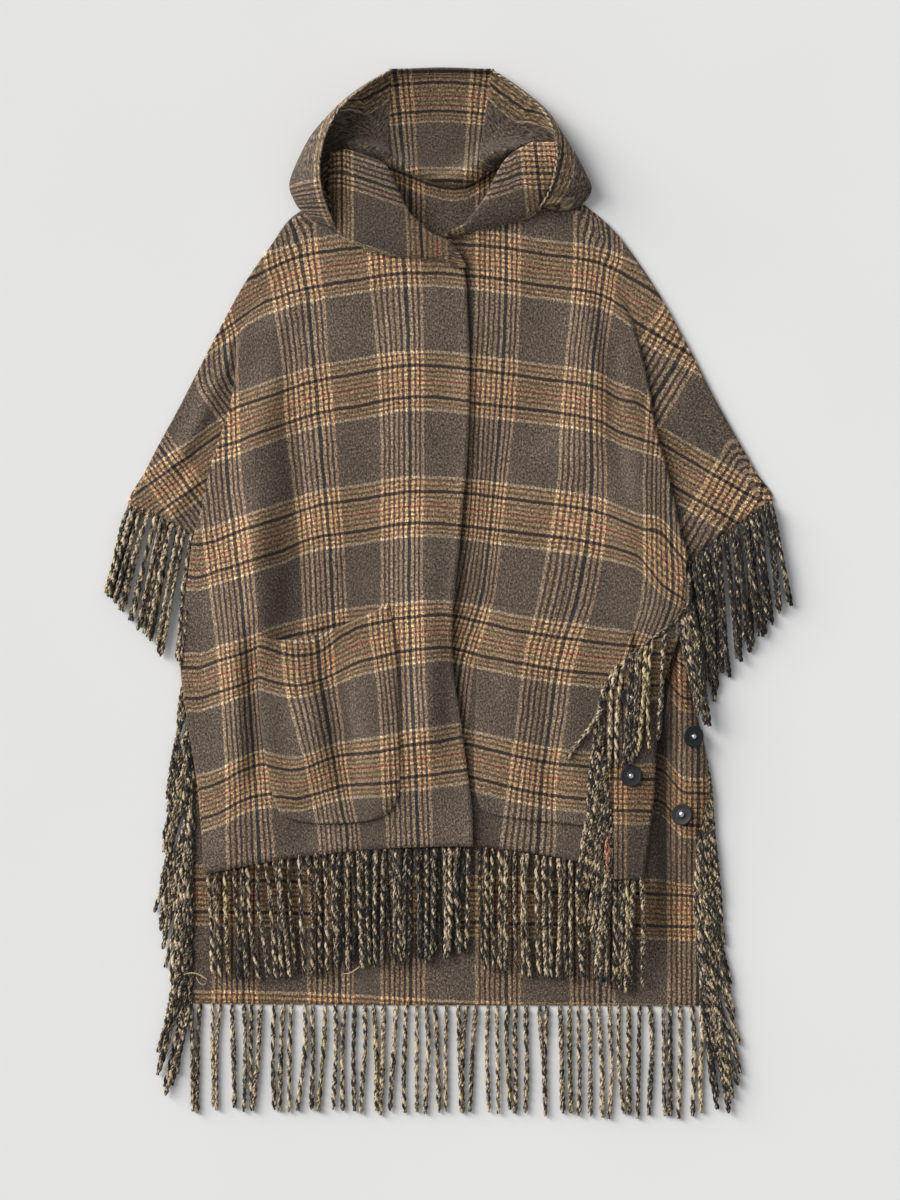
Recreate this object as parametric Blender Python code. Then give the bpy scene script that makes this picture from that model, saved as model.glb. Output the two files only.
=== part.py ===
"""Hooded blanket cape of double-faced checked wool with twisted fringe, laid flat on its back, front up.

The cape is drafted on a squared sheet. Tables give places as (across, down): squares to the right and squares down
from the sheet's top left corner, one square being SQUARE metres of cloth. Heights above the floor are in millimetres.
+X is to the right of the sheet, +Y runs up it towards the hood, and +Z is up from the floor.
"""

import math
from collections import namedtuple

import bpy
import numpy as np

SQUARE = 0.00115  # metres of cloth for each square of the sheet
SHEET_CENTRE = (446.0, 591.73)  # the square at the middle of the finished outline
CLOTH = 0.0022  # wall of the double-faced wool
GAP = 0.0003  # air between pieces that lie on each other
LAYER = CLOTH + GAP
BED = CLOTH / 2  # middle of the back's wall, which lies on the floor
FRONT = BED + LAYER  # middle of a front's wall, which lies on the back
BEND = 0.0022  # radius of the body's fold over a sleeve wing, to the middle of the wall
TURN_BEND = 0.0030  # radius of the turned side strip's fold
TURN_CLEAR = 0.0012  # from that fold to the front's own edge under it
POCKET_LIFT = 0.0034  # pocket's wall over the front's, middle to middle
SNAP_RADIUS, SNAP_THICK = 0.0124, 0.0026
SNAP_CLEAR = 0.0010  # from the cloth's face to a disc, where the cloth is not flat
STUD_RADIUS, STUD_HEIGHT = 0.0027, 0.0014

WOOL = (0.16, 0.115, 0.075)
WOOL_POCKET = (0.20, 0.145, 0.095)
WOOL_HOOD = (0.13, 0.095, 0.065)
YARN = (0.10, 0.085, 0.062)
SNAP_BLACK = (0.012, 0.014, 0.020)
STUD_METAL = (0.78, 0.79, 0.80)

for thing in list(bpy.data.objects):
    bpy.data.objects.remove(thing, do_unlink=True)


# ---------------------------------------------------------------- tables

# The back, one row for each crosswise section: where it starts at the left, its sag at the middle, and where it ends.
# rise is the height of its middle at the neck, and roll that of the rolled strip along its right side.
BackRow = namedtuple("BackRow", "left_x left_y mid_y right_x right_y rise roll")
BACK_ROWS = [
    BackRow(360, 170, 188, 526, 163, 6.2, 0),
    BackRow(338, 186, 202, 556, 182, 3.4, 0),
    BackRow(312, 204, 216, 583, 204, 0.4, 0),
    BackRow(289, 220, 232, 604, 221, 0, 0),
    BackRow(270, 247, 252, 627, 247, 0, 0),
    BackRow(245, 283, 285, 652, 283, 0, 0),
    BackRow(226, 317, 318, 672, 317, 0, 0),
    BackRow(202, 363, 363, 696, 363, 0, 0),
    BackRow(173, 421, 421, 726, 421, 0, 0),
    BackRow(148, 467, 467, 752, 467, 0, 0),
    BackRow(128, 506, 503, 773, 499, 0, 0),
    BackRow(160, 520, 521, 747, 518, 0, 0),
    BackRow(195, 540, 541, 711, 544, 0, 0),
    BackRow(194, 562, 562, 690, 563, 0, 0),
    BackRow(188, 606, 606, 691, 606, 0, 0),
    BackRow(187, 640, 640, 691, 640, 0, 3),
    BackRow(188, 672, 672, 691, 672, 0, 10),
    BackRow(190, 704, 704, 693, 704, 0, 14),
    BackRow(191, 740, 740, 703, 740, 0, 15),
    BackRow(191, 778, 778, 709, 778, 0, 15),
    BackRow(191, 812, 812, 706, 812, 0, 12),
    BackRow(191, 845, 845, 700, 845, 0, 6),
    BackRow(191, 880, 880, 697, 880, 0, 1),
    BackRow(191, 930, 930, 699, 930, 0, 0),
    BackRow(191, 975, 975, 706, 975, 0, 0),
    BackRow(191, 1003, 1005, 706, 1006, 0, 0),
]
# The left side of the rolled strip, from its top down.
ROLL_EDGE = [(600, 688), (640, 683), (660, 676), (688, 669), (720, 665), (746, 668), (779, 671), (820, 672), (880, 672), (1006, 672)]

# A front, one row for each section from the centre edge over the body, round the fold that lies over the sleeve wing,
# and out to the shoulder or cuff. lift counts BEND radii from the wing up to the body at the fold, and depth is how far
# the fold runs back under the body. bow lowers the middle of the wing. From UNDERARM down there is no wing.
FrontRow = namedtuple("FrontRow", "centre_x centre_y fold_x fold_y outer_x outer_y lift depth bow")
LEFT_FRONT = [
    FrontRow(352, 196, 322, 207, 290, 220, 0.0, 0, 0),
    FrontRow(373, 215, 310, 236, 270, 247, 0.0, 0, 0),
    FrontRow(398, 231, 286, 272, 245, 283, 0.1, 0, 0),
    FrontRow(425, 244, 262, 305, 226, 317, 0.4, 0, 0),
    FrontRow(449, 254, 245, 334, 209, 350, 1.0, 0, 0),
    FrontRow(464, 270, 238, 363, 194, 379, 1.8, 0, 0),
    FrontRow(467, 300, 234, 392, 178, 410, 2.8, 1, 0),
    FrontRow(469, 338, 227, 421, 161, 441, 3.6, 3, 0),
    FrontRow(470, 380, 216, 450, 147, 468, 4.0, 8, 0),
    FrontRow(469, 424, 208, 482, 138, 487, 4.0, 13, 0),
    FrontRow(467, 465, 202, 512, 131, 500, 4.0, 18, 0),
    FrontRow(463, 505, 194, 539, 128, 506, 4.0, 22, -5),
    FrontRow(459, 555, 189, 575, 124, 540, 3.2, 22, 0),
    FrontRow(453, 610, 182, 622, 120, 580, 2.4, 22, 0),
    FrontRow(453, 665, 182, 676, 120, 640, 2.2, 22, 0),
    FrontRow(460, 716, 189, 726, 120, 700, 2.2, 22, 0),
    FrontRow(466, 762, 197, 776, 120, 760, 2.2, 22, 0),
    FrontRow(472, 808, 202, 828, 120, 800, 2.2, 22, 0),
    FrontRow(473, 846, 205, 874, 120, 840, 2.2, 22, 0),
]
RIGHT_FRONT = [
    FrontRow(533, 196, 566, 206, 603, 220, 0.0, 0, 0),
    FrontRow(513, 206, 583, 235, 620, 238, 0.0, 0, 0),
    FrontRow(489, 216, 602, 262, 641, 268, 0.2, 0, 0),
    FrontRow(463, 227, 618, 297, 664, 303, 0.8, 0, 0),
    FrontRow(440, 238, 633, 328, 680, 332, 1.8, 0, 0),
    FrontRow(425, 252, 642, 359, 696, 362, 2.9, 1, 0),
    FrontRow(421, 285, 649, 393, 712, 394, 3.6, 3, 0),
    FrontRow(420, 325, 654, 425, 729, 425, 4.0, 7, 0),
    FrontRow(420, 370, 663, 457, 745, 453, 4.0, 11, 0),
    FrontRow(420, 415, 671, 490, 759, 478, 4.0, 16, 0),
    FrontRow(420, 460, 679, 527, 770, 495, 4.0, 20, 0),
    FrontRow(420, 505, 688, 563, 773, 499, 4.0, 24, -2),
    FrontRow(420, 540, 690, 585, 780, 520, 3.2, 20, 0),
    FrontRow(420, 570, 690, 604, 790, 560, 2.2, 16, 0),
    FrontRow(420, 610, 677, 640, 800, 600, 1.0, 12, 0),
    FrontRow(420, 655, 662, 688, 800, 660, 0.2, 12, 0),
    FrontRow(420, 705, 656, 742, 800, 700, 0.0, 12, 0),
    FrontRow(420, 755, 653, 797, 800, 760, 0.0, 12, 0),
    FrontRow(420, 805, 647, 845, 800, 800, 0.0, 12, 0),
    FrontRow(420, 845, 643, 879, 800, 840, 0.0, 12, 0),
]
UNDERARM = 11  # the row of either front that runs along its cuff
# The free edge of the right front's turned side strip, from its top corner down.
STRIP_EDGE = [(604, 686), (618, 677), (636, 657), (647, 640), (661, 623), (681, 608), (706, 601), (749, 604), (780, 609), (834, 612), (879, 610)]

# Soft standing folds of the fronts: a ridge from one end to the other, its half width in squares and its height.
Ridge = namedtuple("Ridge", "x0 y0 x1 y1 half height")
RIDGES = [
    Ridge(262, 560, 262, 790, 20, 4.0),
    Ridge(352, 640, 372, 800, 26, 2.4),
    Ridge(300, 420, 280, 560, 34, 2.0),
    Ridge(560, 420, 600, 560, 34, 2.0),
    Ridge(520, 660, 536, 860, 26, 2.0),
]

# The patch pockets: one row for each section, its two ends, and how far it sags between them.
PocketRow = namedtuple("PocketRow", "left_x left_y right_x right_y sag")
LEFT_POCKET = [
    PocketRow(258, 633, 389, 604, 15),
    PocketRow(258, 672, 397, 650, 8),
    PocketRow(261, 725, 399, 705, 3),
    PocketRow(267, 765, 400, 765, 0),
    PocketRow(273, 795, 398, 797, 2),
    PocketRow(280, 812, 386, 814, 4),
    PocketRow(292, 818, 366, 821, 4),
]
RIGHT_POCKET = [
    PocketRow(483, 603, 633, 628, 0),
    PocketRow(478, 650, 631, 668, 0),
    PocketRow(475, 710, 628, 725, 0),
    PocketRow(474, 765, 624, 772, 0),
    PocketRow(476, 795, 617, 803, 0),
    PocketRow(482, 809, 606, 818, 1),
    PocketRow(494, 814, 590, 826, 1),
]

# The hood, one row for each section from its front edge: over the outside to the widest place, under to the floor,
# across to the neck, up the roll at the neck and down into the neck seam. Each place is across, down and height.
HoodRow = namedtuple("HoodRow", "edge side floor inner roll seam")
HOOD_LEFT = [
    HoodRow((392, 71, 16), (391, 71.5, 8), (391, 78, 2.0), (389, 138, 1.6), (390.5, 157, 19), (389, 166, 12)),
    HoodRow((368, 86, 22), (365.5, 86.5, 11), (371, 95, 2.5), (377, 136, 2.2), (375, 150, 20), (376, 162, 12)),
    HoodRow((344, 106, 30), (340, 106, 16), (346, 114, 3.0), (358, 136, 3.6), (356, 147, 18), (360, 158, 12)),
    HoodRow((329, 130, 40), (315, 133, 21), (322, 138, 4.0), (337, 142, 4.0), (342, 147, 7.0), (347, 155, 8.0)),
    HoodRow((322, 152, 47), (303, 154, 22), (308, 158, 2.4), (328, 163, 2.4), (338, 165, 3.6), (346, 168, 5.0)),
    HoodRow((320, 176, 50), (292, 182, 20), (298, 186, 2.4), (324, 187, 3.4), (336, 188, 5.4), (346, 189, 6.8)),
    HoodRow((323, 196, 42), (295.5, 199, 17), (303, 203, 6.6), (324, 203, 6.6), (336, 204, 6.8), (347, 205, 6.8)),
    HoodRow((329, 214, 27), (304.5, 212, 12.5), (311, 215, 6.8), (327, 214, 6.8), (338, 214, 6.8), (348, 214, 6.8)),
    HoodRow((336, 230, 13.5), (323, 224, 10.2), (325, 223, 7.2), (333, 222, 6.8), (341, 221, 6.8), (349, 220, 6.8)),
]
HOOD_GUSSET = [
    HoodRow((393, 70.5, 16), (392.5, 71, 8), (392, 78, 2.0), (390, 138, 1.6), (391.5, 157.4, 19), (390, 166.4, 12)),
    HoodRow((416, 70, 15), (416, 70.5, 7.5), (416, 77, 1.8), (414, 150, 1.5), (413, 168, 18), (413, 175, 11.5)),
    HoodRow((441, 69.5, 14.5), (441, 70, 7), (441, 77, 1.6), (441, 160, 1.4), (441, 178, 17), (442, 185, 11.5)),
    HoodRow((466, 70, 15), (466, 70.5, 7.5), (466, 77, 1.8), (464, 152, 1.5), (464, 172, 19), (466, 185, 11.5)),
    HoodRow((490, 70.5, 16), (490.5, 71, 8), (490, 78, 2.0), (481, 138, 1.6), (478, 162, 20), (482, 176, 12)),
]
HOOD_RIGHT = [
    HoodRow((491, 71, 16), (492, 71.5, 8), (491, 78, 2.0), (482, 138, 1.6), (479, 161.6, 20), (483, 175.6, 12)),
    HoodRow((515, 88, 22), (517.5, 88.5, 11), (511, 97, 2.5), (498, 134, 2.2), (494, 155, 21), (496, 167, 12)),
    HoodRow((541, 111, 30), (545, 111, 16), (538, 119, 3.0), (520, 138, 3.6), (514, 149, 19), (511, 158, 12)),
    HoodRow((552, 130, 36), (560, 132, 20), (553, 138, 4.0), (538, 143, 4.4), (532, 147, 7.0), (528, 153, 8.0)),
    HoodRow((557, 150, 38), (574, 154, 20), (567, 158, 2.8), (547, 160, 3.0), (538, 162, 4.6), (529, 165, 6.0)),
    HoodRow((555.5, 168, 35), (584, 174, 19), (579, 184, 4.0), (551, 181, 4.4), (540, 181, 6.0), (529, 181, 6.8)),
    HoodRow((552, 185, 31), (588.5, 188, 18), (581, 202, 7.2), (552, 194, 6.8), (541, 192, 6.8), (530, 191, 6.8)),
    HoodRow((546, 199, 26), (573, 197, 16), (570, 209, 7.2), (548, 203, 6.8), (540, 200, 6.8), (531, 199, 6.8)),
    HoodRow((539, 209, 20), (554, 205, 13.5), (553, 211, 8.0), (543, 209, 6.9), (538, 207, 6.8), (532, 206, 6.8)),
]

# The rolled front edges of the neck: one row for each section, its free edge, the crest that it rolls over, and how far
# it then runs back under itself and drops.
LapelRow = namedtuple("LapelRow", "edge crest back drop")
LAPEL_LEFT = [
    LapelRow((331, 153, 11), (346, 151, 24), 3, 6.0),
    LapelRow((329.5, 165, 10), (366, 158, 28), 7, 6.5),
    LapelRow((329, 180, 10), (386, 168, 32), 10, 7.0),
    LapelRow((330, 200, 10), (397, 190, 31), 10, 8.0),
    LapelRow((333.5, 219, 10), (408, 213, 29), 10, 8.0),
    LapelRow((341, 236, 10), (420, 225, 26), 10, 8.0),
    LapelRow((359, 246, 10), (431, 235, 23), 9, 7.0),
    LapelRow((386, 255, 11), (440, 239, 20.5), 8, 6.0),
    LapelRow((413, 258, 12), (450, 244, 19), 6, 6.0),
    LapelRow((440, 260, 12.5), (459, 255, 17.5), 3, 5.5),
    LapelRow((458, 269, 13), (466, 268, 16), 1, 5.0),
]
LAPEL_RIGHT = [
    LapelRow((557, 144, 30), (533, 144, 28), 3, 6.0),
    LapelRow((558, 156, 32), (516, 153, 31), 7, 7.0),
    LapelRow((556, 169, 29.5), (504, 164, 33), 10, 8.0),
    LapelRow((552, 184, 25.5), (496, 178, 32), 10, 8.0),
    LapelRow((546, 198, 20.5), (489, 193, 30), 10, 8.0),
    LapelRow((539, 209.5, 14), (482, 204, 27), 10, 8.0),
    LapelRow((527, 218, 11.5), (474, 214, 23), 8, 7.0),
    LapelRow((493, 227, 9.5), (464, 225, 16.5), 4, 4.5),
    LapelRow((470, 232, 8.8), (454, 230, 12.5), 0, 3.0),
    LapelRow((455, 236, 8.4), (444, 236, 10), -1, 2.0),
]

# Each fringe as a plain slab of its reach: rows of its two sides, and the height of its underside.
FringeRow = namedtuple("FringeRow", "ax ay bx by base")
Fringe = namedtuple("Fringe", "name thick rows")
FRINGES = [
    Fringe("fringe_back_hem", 0.0048, [
        FringeRow(190, 1004.2, 182, 1110, 0), FringeRow(300, 1006, 296, 1109, 0), FringeRow(448, 1006.4, 448, 1109, 0),
        FringeRow(590, 1006.6, 592, 1113, 0), FringeRow(703, 1006.8, 700, 1116, 0)]),
    Fringe("fringe_front_left_hem", 0.0048, [
        FringeRow(206, 877.2, 213, 977, 2.5), FringeRow(234, 874, 250, 977, 2.5), FringeRow(276, 864, 288, 977, 2.5),
        FringeRow(318, 857.6, 322, 970, 2.5), FringeRow(360, 853, 362, 965, 2.5), FringeRow(424, 849.4, 424, 961, 2.5),
        FringeRow(468, 848, 469, 950, 2.5)]),
    Fringe("fringe_front_right_hem", 0.0042, [
        FringeRow(476, 849, 478, 966, 2.5), FringeRow(512, 853, 512, 970, 2.5), FringeRow(548, 859, 550, 975, 2.5),
        FringeRow(590, 868, 592, 979, 2.5), FringeRow(638, 879.4, 632, 984, 2.5)]),
    Fringe("fringe_strip_hem", 0.0040, [
        FringeRow(615, 880.4, 615, 987, 7.0), FringeRow(641, 880.4, 640, 989, 7.0)]),
    Fringe("fringe_strip_edge", 0.0044, [
        FringeRow(673, 614, 685, 618, 17.0), FringeRow(650, 640, 679, 646, 15.0), FringeRow(618, 664, 675, 668, 14.2),
        FringeRow(603, 690, 672, 694, 16.8), FringeRow(591, 722, 668, 724, 15.4), FringeRow(586, 748, 655, 748, 14.2),
        FringeRow(583, 762, 612, 762, 14.2), FringeRow(580, 792, 606, 792, 9.8), FringeRow(580, 850, 608, 850, 8.4),
        FringeRow(585, 900, 609, 900, 7.4), FringeRow(590, 996, 610, 996, 7.4)]),
    Fringe("fringe_side_left", 0.0060, [
        FringeRow(179, 668, 176, 672, 0), FringeRow(183, 700, 175, 702, 0), FringeRow(189, 760, 171, 760, 0),
        FringeRow(190, 820, 165, 820, 0), FringeRow(190, 883, 159, 883, 0), FringeRow(190, 945, 155, 945, 0),
        FringeRow(189, 1002, 160, 995, 0), FringeRow(180, 1012, 155, 1022, 0), FringeRow(178, 1060, 154, 1080, 0),
        FringeRow(174, 1082, 159, 1100, 0)]),
    Fringe("fringe_side_right", 0.0060, [
        FringeRow(706, 752, 708, 752, 0), FringeRow(710.6, 778, 713, 776, 0), FringeRow(708, 812, 717, 812, 0),
        FringeRow(702, 846, 719, 846, 0), FringeRow(699, 880, 723, 880, 0), FringeRow(701, 930, 728, 930, 0),
        FringeRow(707.6, 975, 734, 975, 0), FringeRow(708, 1030, 741, 1030, 0), FringeRow(706, 1080, 739, 1074, 0),
        FringeRow(710, 1112, 731, 1112, 0)]),
    Fringe("fringe_cuff_left_back", 0.0036, [
        FringeRow(127, 508.5, 104, 594, 0), FringeRow(141, 514.5, 118, 606, 0), FringeRow(156, 521.5, 136, 628, 0),
        FringeRow(171, 530, 154, 643, 0), FringeRow(180, 536, 166, 655, 0), FringeRow(184, 540, 173, 664, 0)]),
    Fringe("fringe_cuff_left_front", 0.0040, [
        FringeRow(127, 508.5, 106, 590, 3.9), FringeRow(141, 514.5, 120, 602, 3.9), FringeRow(156, 521.5, 138, 622, 3.9),
        FringeRow(171, 530, 154, 640, 3.9), FringeRow(180, 536, 166, 650, 3.9), FringeRow(184, 541, 173, 658, 3.9)]),
    Fringe("fringe_cuff_right_back", 0.0036, [
        FringeRow(774, 502, 788, 606, 0), FringeRow(762, 511, 778, 620, 0), FringeRow(748, 522, 760, 638, 0),
        FringeRow(734, 533, 744, 652, 0), FringeRow(720, 542, 730, 668, 0), FringeRow(707, 552, 712, 700, 0),
        FringeRow(696, 563, 700, 712, 0)]),
    Fringe("fringe_cuff_right_front", 0.0040, [
        FringeRow(774, 502, 786, 600, 3.9), FringeRow(762, 511, 775, 612, 3.9), FringeRow(748, 522, 758, 630, 3.9),
        FringeRow(734, 533, 743, 646, 3.9), FringeRow(720, 542, 728, 664, 3.9), FringeRow(707, 552, 711, 690, 3.9),
        FringeRow(696, 563, 700, 690, 3.9)]),
]

# The snaps, by their centres: two on the turned side strip and two on the back's rolled strip.
STRIP_SNAPS = [(630.5, 775.5), (631, 697)]
BACK_SNAPS = [(692, 736), (682, 814)]


# ---------------------------------------------------------------- helpers

def place(across, down, height):
    """A point of the sheet in metres, height in metres too."""
    return np.array([(across - SHEET_CENTRE[0]) * SQUARE, (SHEET_CENTRE[1] - down) * SQUARE, height])


def through(values, t):
    """Smooth curve through evenly spaced values, read at t in rows."""
    v = np.asarray(values, float)
    i = np.clip(np.floor(t).astype(int), 0, len(v) - 2)
    f = (t - i).reshape((-1,) + (1,) * (v.ndim - 1))
    a, b, c, d = v[np.maximum(i - 1, 0)], v[i], v[i + 1], v[np.minimum(i + 2, len(v) - 1)]
    return b + 0.5 * f * (c - a + f * (2 * a - 5 * b + 4 * c - d + f * (3 * (b - c) + d - a)))


def finer(rows, times):
    """The table with extra rows between its own, on a smooth curve through them."""
    t = np.linspace(0, len(rows) - 1, (len(rows) - 1) * times + 1)
    return [type(rows[0])(*row) for row in through([list(r) for r in rows], t)]


def ease(t):
    t = np.clip(t, 0.0, 1.0)
    return t * t * (3 - 2 * t)


def read(pairs, at):
    """Second column of a table of pairs, read at a value of the first."""
    return np.interp(at, [p[0] for p in pairs], [p[1] for p in pairs])


def material(name, colour, roughness=0.9, metallic=0.0):
    made = bpy.data.materials.new(name)
    made.use_nodes = True
    shader = made.node_tree.nodes["Principled BSDF"]
    shader.inputs["Base Color"].default_value = (*colour, 1)
    shader.inputs["Roughness"].default_value = roughness
    shader.inputs["Metallic"].default_value = metallic
    made.diffuse_color = (*colour, 1)
    return made


def add_mesh(name, points, faces, surface):
    """One closed body with its faces turned out."""
    points = np.asarray(points, float)
    faces = np.asarray(faces, int)
    if np.linalg.det(points[faces]).sum() < 0:
        faces = faces[:, ::-1]
    mesh = bpy.data.meshes.new(name)
    mesh.from_pydata(points.tolist(), [], faces.tolist())
    mesh.materials.append(surface)
    mesh.shade_smooth()
    mesh.set_sharp_from_angle(angle=math.radians(50))
    made = bpy.data.objects.new(name, mesh)
    bpy.context.scene.collection.objects.link(made)
    return made


def wall(name, grid, surface, thick=CLOTH, keep=None, upright=False):
    """A wall of even thickness about a grid of points, rows by columns, closed round its rim. keep marks the cells
    that are cloth. With upright, its thickness is measured straight up."""
    p = np.asarray(grid, float)
    rows, cols = p.shape[:2]
    keep = np.ones((rows - 1, cols - 1), bool) if keep is None else keep
    index = np.arange(rows * cols).reshape(rows, cols)
    flat = p.reshape(-1, 3)
    cells = []
    for i, j in zip(*np.nonzero(keep)):
        a, b, c, d = index[i, j], index[i + 1, j], index[i + 1, j + 1], index[i, j + 1]
        if np.linalg.norm(flat[a] - flat[c]) <= np.linalg.norm(flat[b] - flat[d]):
            cells += [(a, b, c), (a, c, d)]
        else:
            cells += [(a, b, d), (b, c, d)]
    cells = np.array(cells)
    across = np.cross(flat[cells[:, 1]] - flat[cells[:, 0]], flat[cells[:, 2]] - flat[cells[:, 0]])
    across /= np.linalg.norm(across, axis=1)[:, None] + 1e-12
    normal = np.zeros_like(flat)
    for corner in range(3):
        np.add.at(normal, cells[:, corner], across)
    normal /= np.linalg.norm(normal, axis=1)[:, None] + 1e-12
    if upright:
        normal[:] = (0, 0, 1)
    used = np.unique(cells)
    renumber = np.full(len(flat), -1)
    renumber[used] = np.arange(len(used))
    cells = renumber[cells]
    top = flat[used] + normal[used] * thick / 2
    low = flat[used] - normal[used] * thick / 2
    count = len(used)
    edges = set()
    for tri in cells:
        for k in range(3):
            edges.add((tri[k], tri[(k + 1) % 3]))
    faces = [tuple(t) for t in cells] + [(t[2] + count, t[1] + count, t[0] + count) for t in cells]
    for a, b in edges:
        if (b, a) not in edges:
            faces += [(b, a, a + count), (b, a + count, b + count)]
    return add_mesh(name, np.vstack([top, low]), faces, surface)


# ---------------------------------------------------------------- surfaces

def ridges_at(x, y):
    total = 0.0
    for r in RIDGES:
        along = np.array([r.x1 - r.x0, r.y1 - r.y0], float)
        length = np.linalg.norm(along)
        along /= length
        s = (x - r.x0) * along[0] + (y - r.y0) * along[1]
        off = abs((x - r.x0) * along[1] - (y - r.y0) * along[0])
        ends = ease((s + 0.35 * length) / (0.7 * length)) * ease((1.35 * length - s) / (0.7 * length))
        total += r.height * math.exp(-((off / r.half) ** 2)) * ends
    return total * 0.001


class Front:
    """The body of one front as a surface: its height anywhere on the sheet."""

    def __init__(self, rows, side, over):
        self.rows, self.side, self.over = rows, side, over
        self.folds = [(r.fold_y, r.fold_x) for r in self.rows]
        self.lifts = [(r.fold_y, r.lift) for r in self.rows]
        self.centres = [(r.centre_y, r.centre_x) for r in self.rows]

    def height(self, x, y):
        fold, lift = read(self.folds, y), read(self.lifts, y)
        near = ease(1 - self.side * (fold - x) / 115.0)
        z = FRONT + BEND * lift * near + ridges_at(x, y) * ease(self.side * (fold - x) / 40.0)
        if self.over:
            z += 0.0029 * ease((x - 378.0) / 36.0)
        return z


LEFT = Front(LEFT_FRONT, -1, True)
RIGHT = Front(RIGHT_FRONT, 1, False)


def front_grid(front, turned_under):
    """Sections of a front, and which cells are cloth."""
    side, rows = front.side, front.rows
    body, arc, wing = 9, 4, 4
    cols = body + arc + 1 + arc + wing
    underarm = UNDERARM
    grid = np.zeros((len(rows), cols, 3))
    for i, r in enumerate(rows):
        below = i > underarm
        z_top = front.height(r.fold_x - side * 2, r.fold_y)
        lift = max(z_top - FRONT, 0.0)
        turn = math.pi if below else math.acos(np.clip(1 - lift / BEND / 2, -1, 1))
        loose = 2.2 * max(0.0, 1 - turn / (math.pi / 2))
        reach = BEND / SQUARE * math.sin(min(turn, math.pi / 2))
        start = r.fold_x - side * reach
        if below and not turned_under:
            start = r.fold_x - side * (TURN_BEND + TURN_CLEAR) / SQUARE
        for j in range(body):
            t = j / (body - 1)
            x = r.centre_x + (start - r.centre_x) * t
            y = r.centre_y + (r.fold_y - r.centre_y) * t ** 2.2
            grid[i, j] = place(x, y, front.height(x, y) if t < 1 else (FRONT + lift if not (below and not turned_under) else front.height(x, y)))
        slope = (r.outer_y - r.fold_y) / (r.outer_x - r.fold_x)
        if below:
            slope = 0.0

        def put(j, out, z):
            x = start + side * out
            y = r.fold_y + slope * (x - r.fold_x) * (1 if side * (x - r.fold_x) < 0 else 1)
            grid[i, j] = place(x, y, z)

        j, out, z = body, 0.0, FRONT + lift
        for k in range(1, arc + 1):
            a = turn * k / arc
            put(j, out + BEND / SQUARE * math.sin(a) + loose * k, z + BEND * (math.cos(a) - 1))
            j += 1
        out, z = out + BEND / SQUARE * math.sin(turn) + loose * arc, z + BEND * (math.cos(turn) - 1)
        depth = r.depth + 0.8
        out, z = out + depth * math.cos(turn) + loose, z - 0.0
        put(j, out, z)
        j += 1
        for k in range(1, arc + 1):
            a = turn * (1 - k / arc)
            put(j, out + BEND / SQUARE * (math.sin(turn) - math.sin(a)) + loose * k, z + BEND * (math.cos(turn) - math.cos(a)))
            j += 1
        lower = start + side * (out + BEND / SQUARE * math.sin(turn) + loose * arc)
        for k in range(1, wing + 1):
            t = k / wing
            x = lower + (r.outer_x - lower) * t
            y = r.fold_y + slope * (x - r.fold_x) + r.bow * 4 * t * (1 - t)
            grid[i, j] = place(x, y, FRONT)
            j += 1
    keep = np.ones((len(rows) - 1, cols - 1), bool)
    last = body - 1 + (arc + 1 if turned_under else 0)
    keep[underarm:, last:] = False
    return grid, keep


def back_grid():
    rows = BACK_ROWS
    flat, arch = 9, 8
    grid = np.zeros((len(rows), flat + arch, 3))
    for i, r in enumerate(rows):
        middle = 0.5 * (r.left_x + r.right_x)
        half = 0.5 * (r.right_x - r.left_x)
        edge = float(read(ROLL_EDGE, 0.5 * (r.left_y + r.right_y)))
        if r.right_y < 600:
            edge = r.right_x - 0.22 * half
        edge = min(edge, r.right_x - 6)
        for j in range(flat + arch):
            if j < flat:
                x = r.left_x + (edge - r.left_x) * j / (flat - 1)
                z = BED
            else:
                a = math.pi * (j - flat + 1) / arch
                x = edge + (r.right_x - edge) * 0.5 * (1 - math.cos(a))
                z = BED + 0.001 * max(r.roll, 0) * math.sin(a)
            u = (x - middle) / half
            y = (r.left_y if u < 0 else r.right_y) * u * u + r.mid_y * (1 - u * u)
            z += 0.001 * max(r.rise, 0) * ease(1.5 - 3.0 * abs(u))
            grid[i, j] = place(x, y, z)
    return grid


def pocket_grid(rows, front):
    """A pocket from the front's own points, moved out."""
    cols = 9
    grid = np.zeros((len(rows), cols, 3))
    for i, r in enumerate(rows):
        for j in range(cols):
            t = j / (cols - 1)
            x = r.left_x + (r.right_x - r.left_x) * t
            y = r.left_y + (r.right_y - r.left_y) * t + r.sag * math.sin(math.pi * t ** 0.7)
            grid[i, j] = place(x, y, front.height(x, y) + POCKET_LIFT)
    return grid


def strip_grid(front):
    """The turned side strip: round its fold beside the front's edge, then back over the front to its free edge."""
    arc, top = 5, 5
    rows = [r for r in front.rows[UNDERARM + 3:]]
    grid = np.zeros((len(rows), arc + top, 3))
    for i, r in enumerate(rows):
        under = front.height(r.fold_x - (TURN_BEND + TURN_CLEAR) / SQUARE, r.fold_y)
        turn_x = r.fold_x - TURN_BEND / SQUARE
        for j in range(arc):
            a = math.pi * j / (arc - 1)
            grid[i, j] = place(turn_x + TURN_BEND / SQUARE * math.sin(a), r.fold_y, under + TURN_BEND * (1 - math.cos(a)))
        free = float(read(STRIP_EDGE, r.fold_y))
        free = min(free, turn_x - 3)
        for j in range(top):
            t = (j + 1) / top
            x = turn_x + (free - turn_x) * t
            y = r.fold_y - (0 if i else 0)
            grid[i, arc + j] = place(x, y, max(front.height(x, r.fold_y), under) + 2 * TURN_BEND)
    return grid


def section(points, counts):
    """Points along a smooth curve through the given ones, with so many steps between each two."""
    v = np.array(points, float)
    t = np.concatenate([np.linspace(i, i + 1, n, endpoint=False) for i, n in enumerate(counts)] + [[len(v) - 1]])
    return through(v, t)


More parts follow.
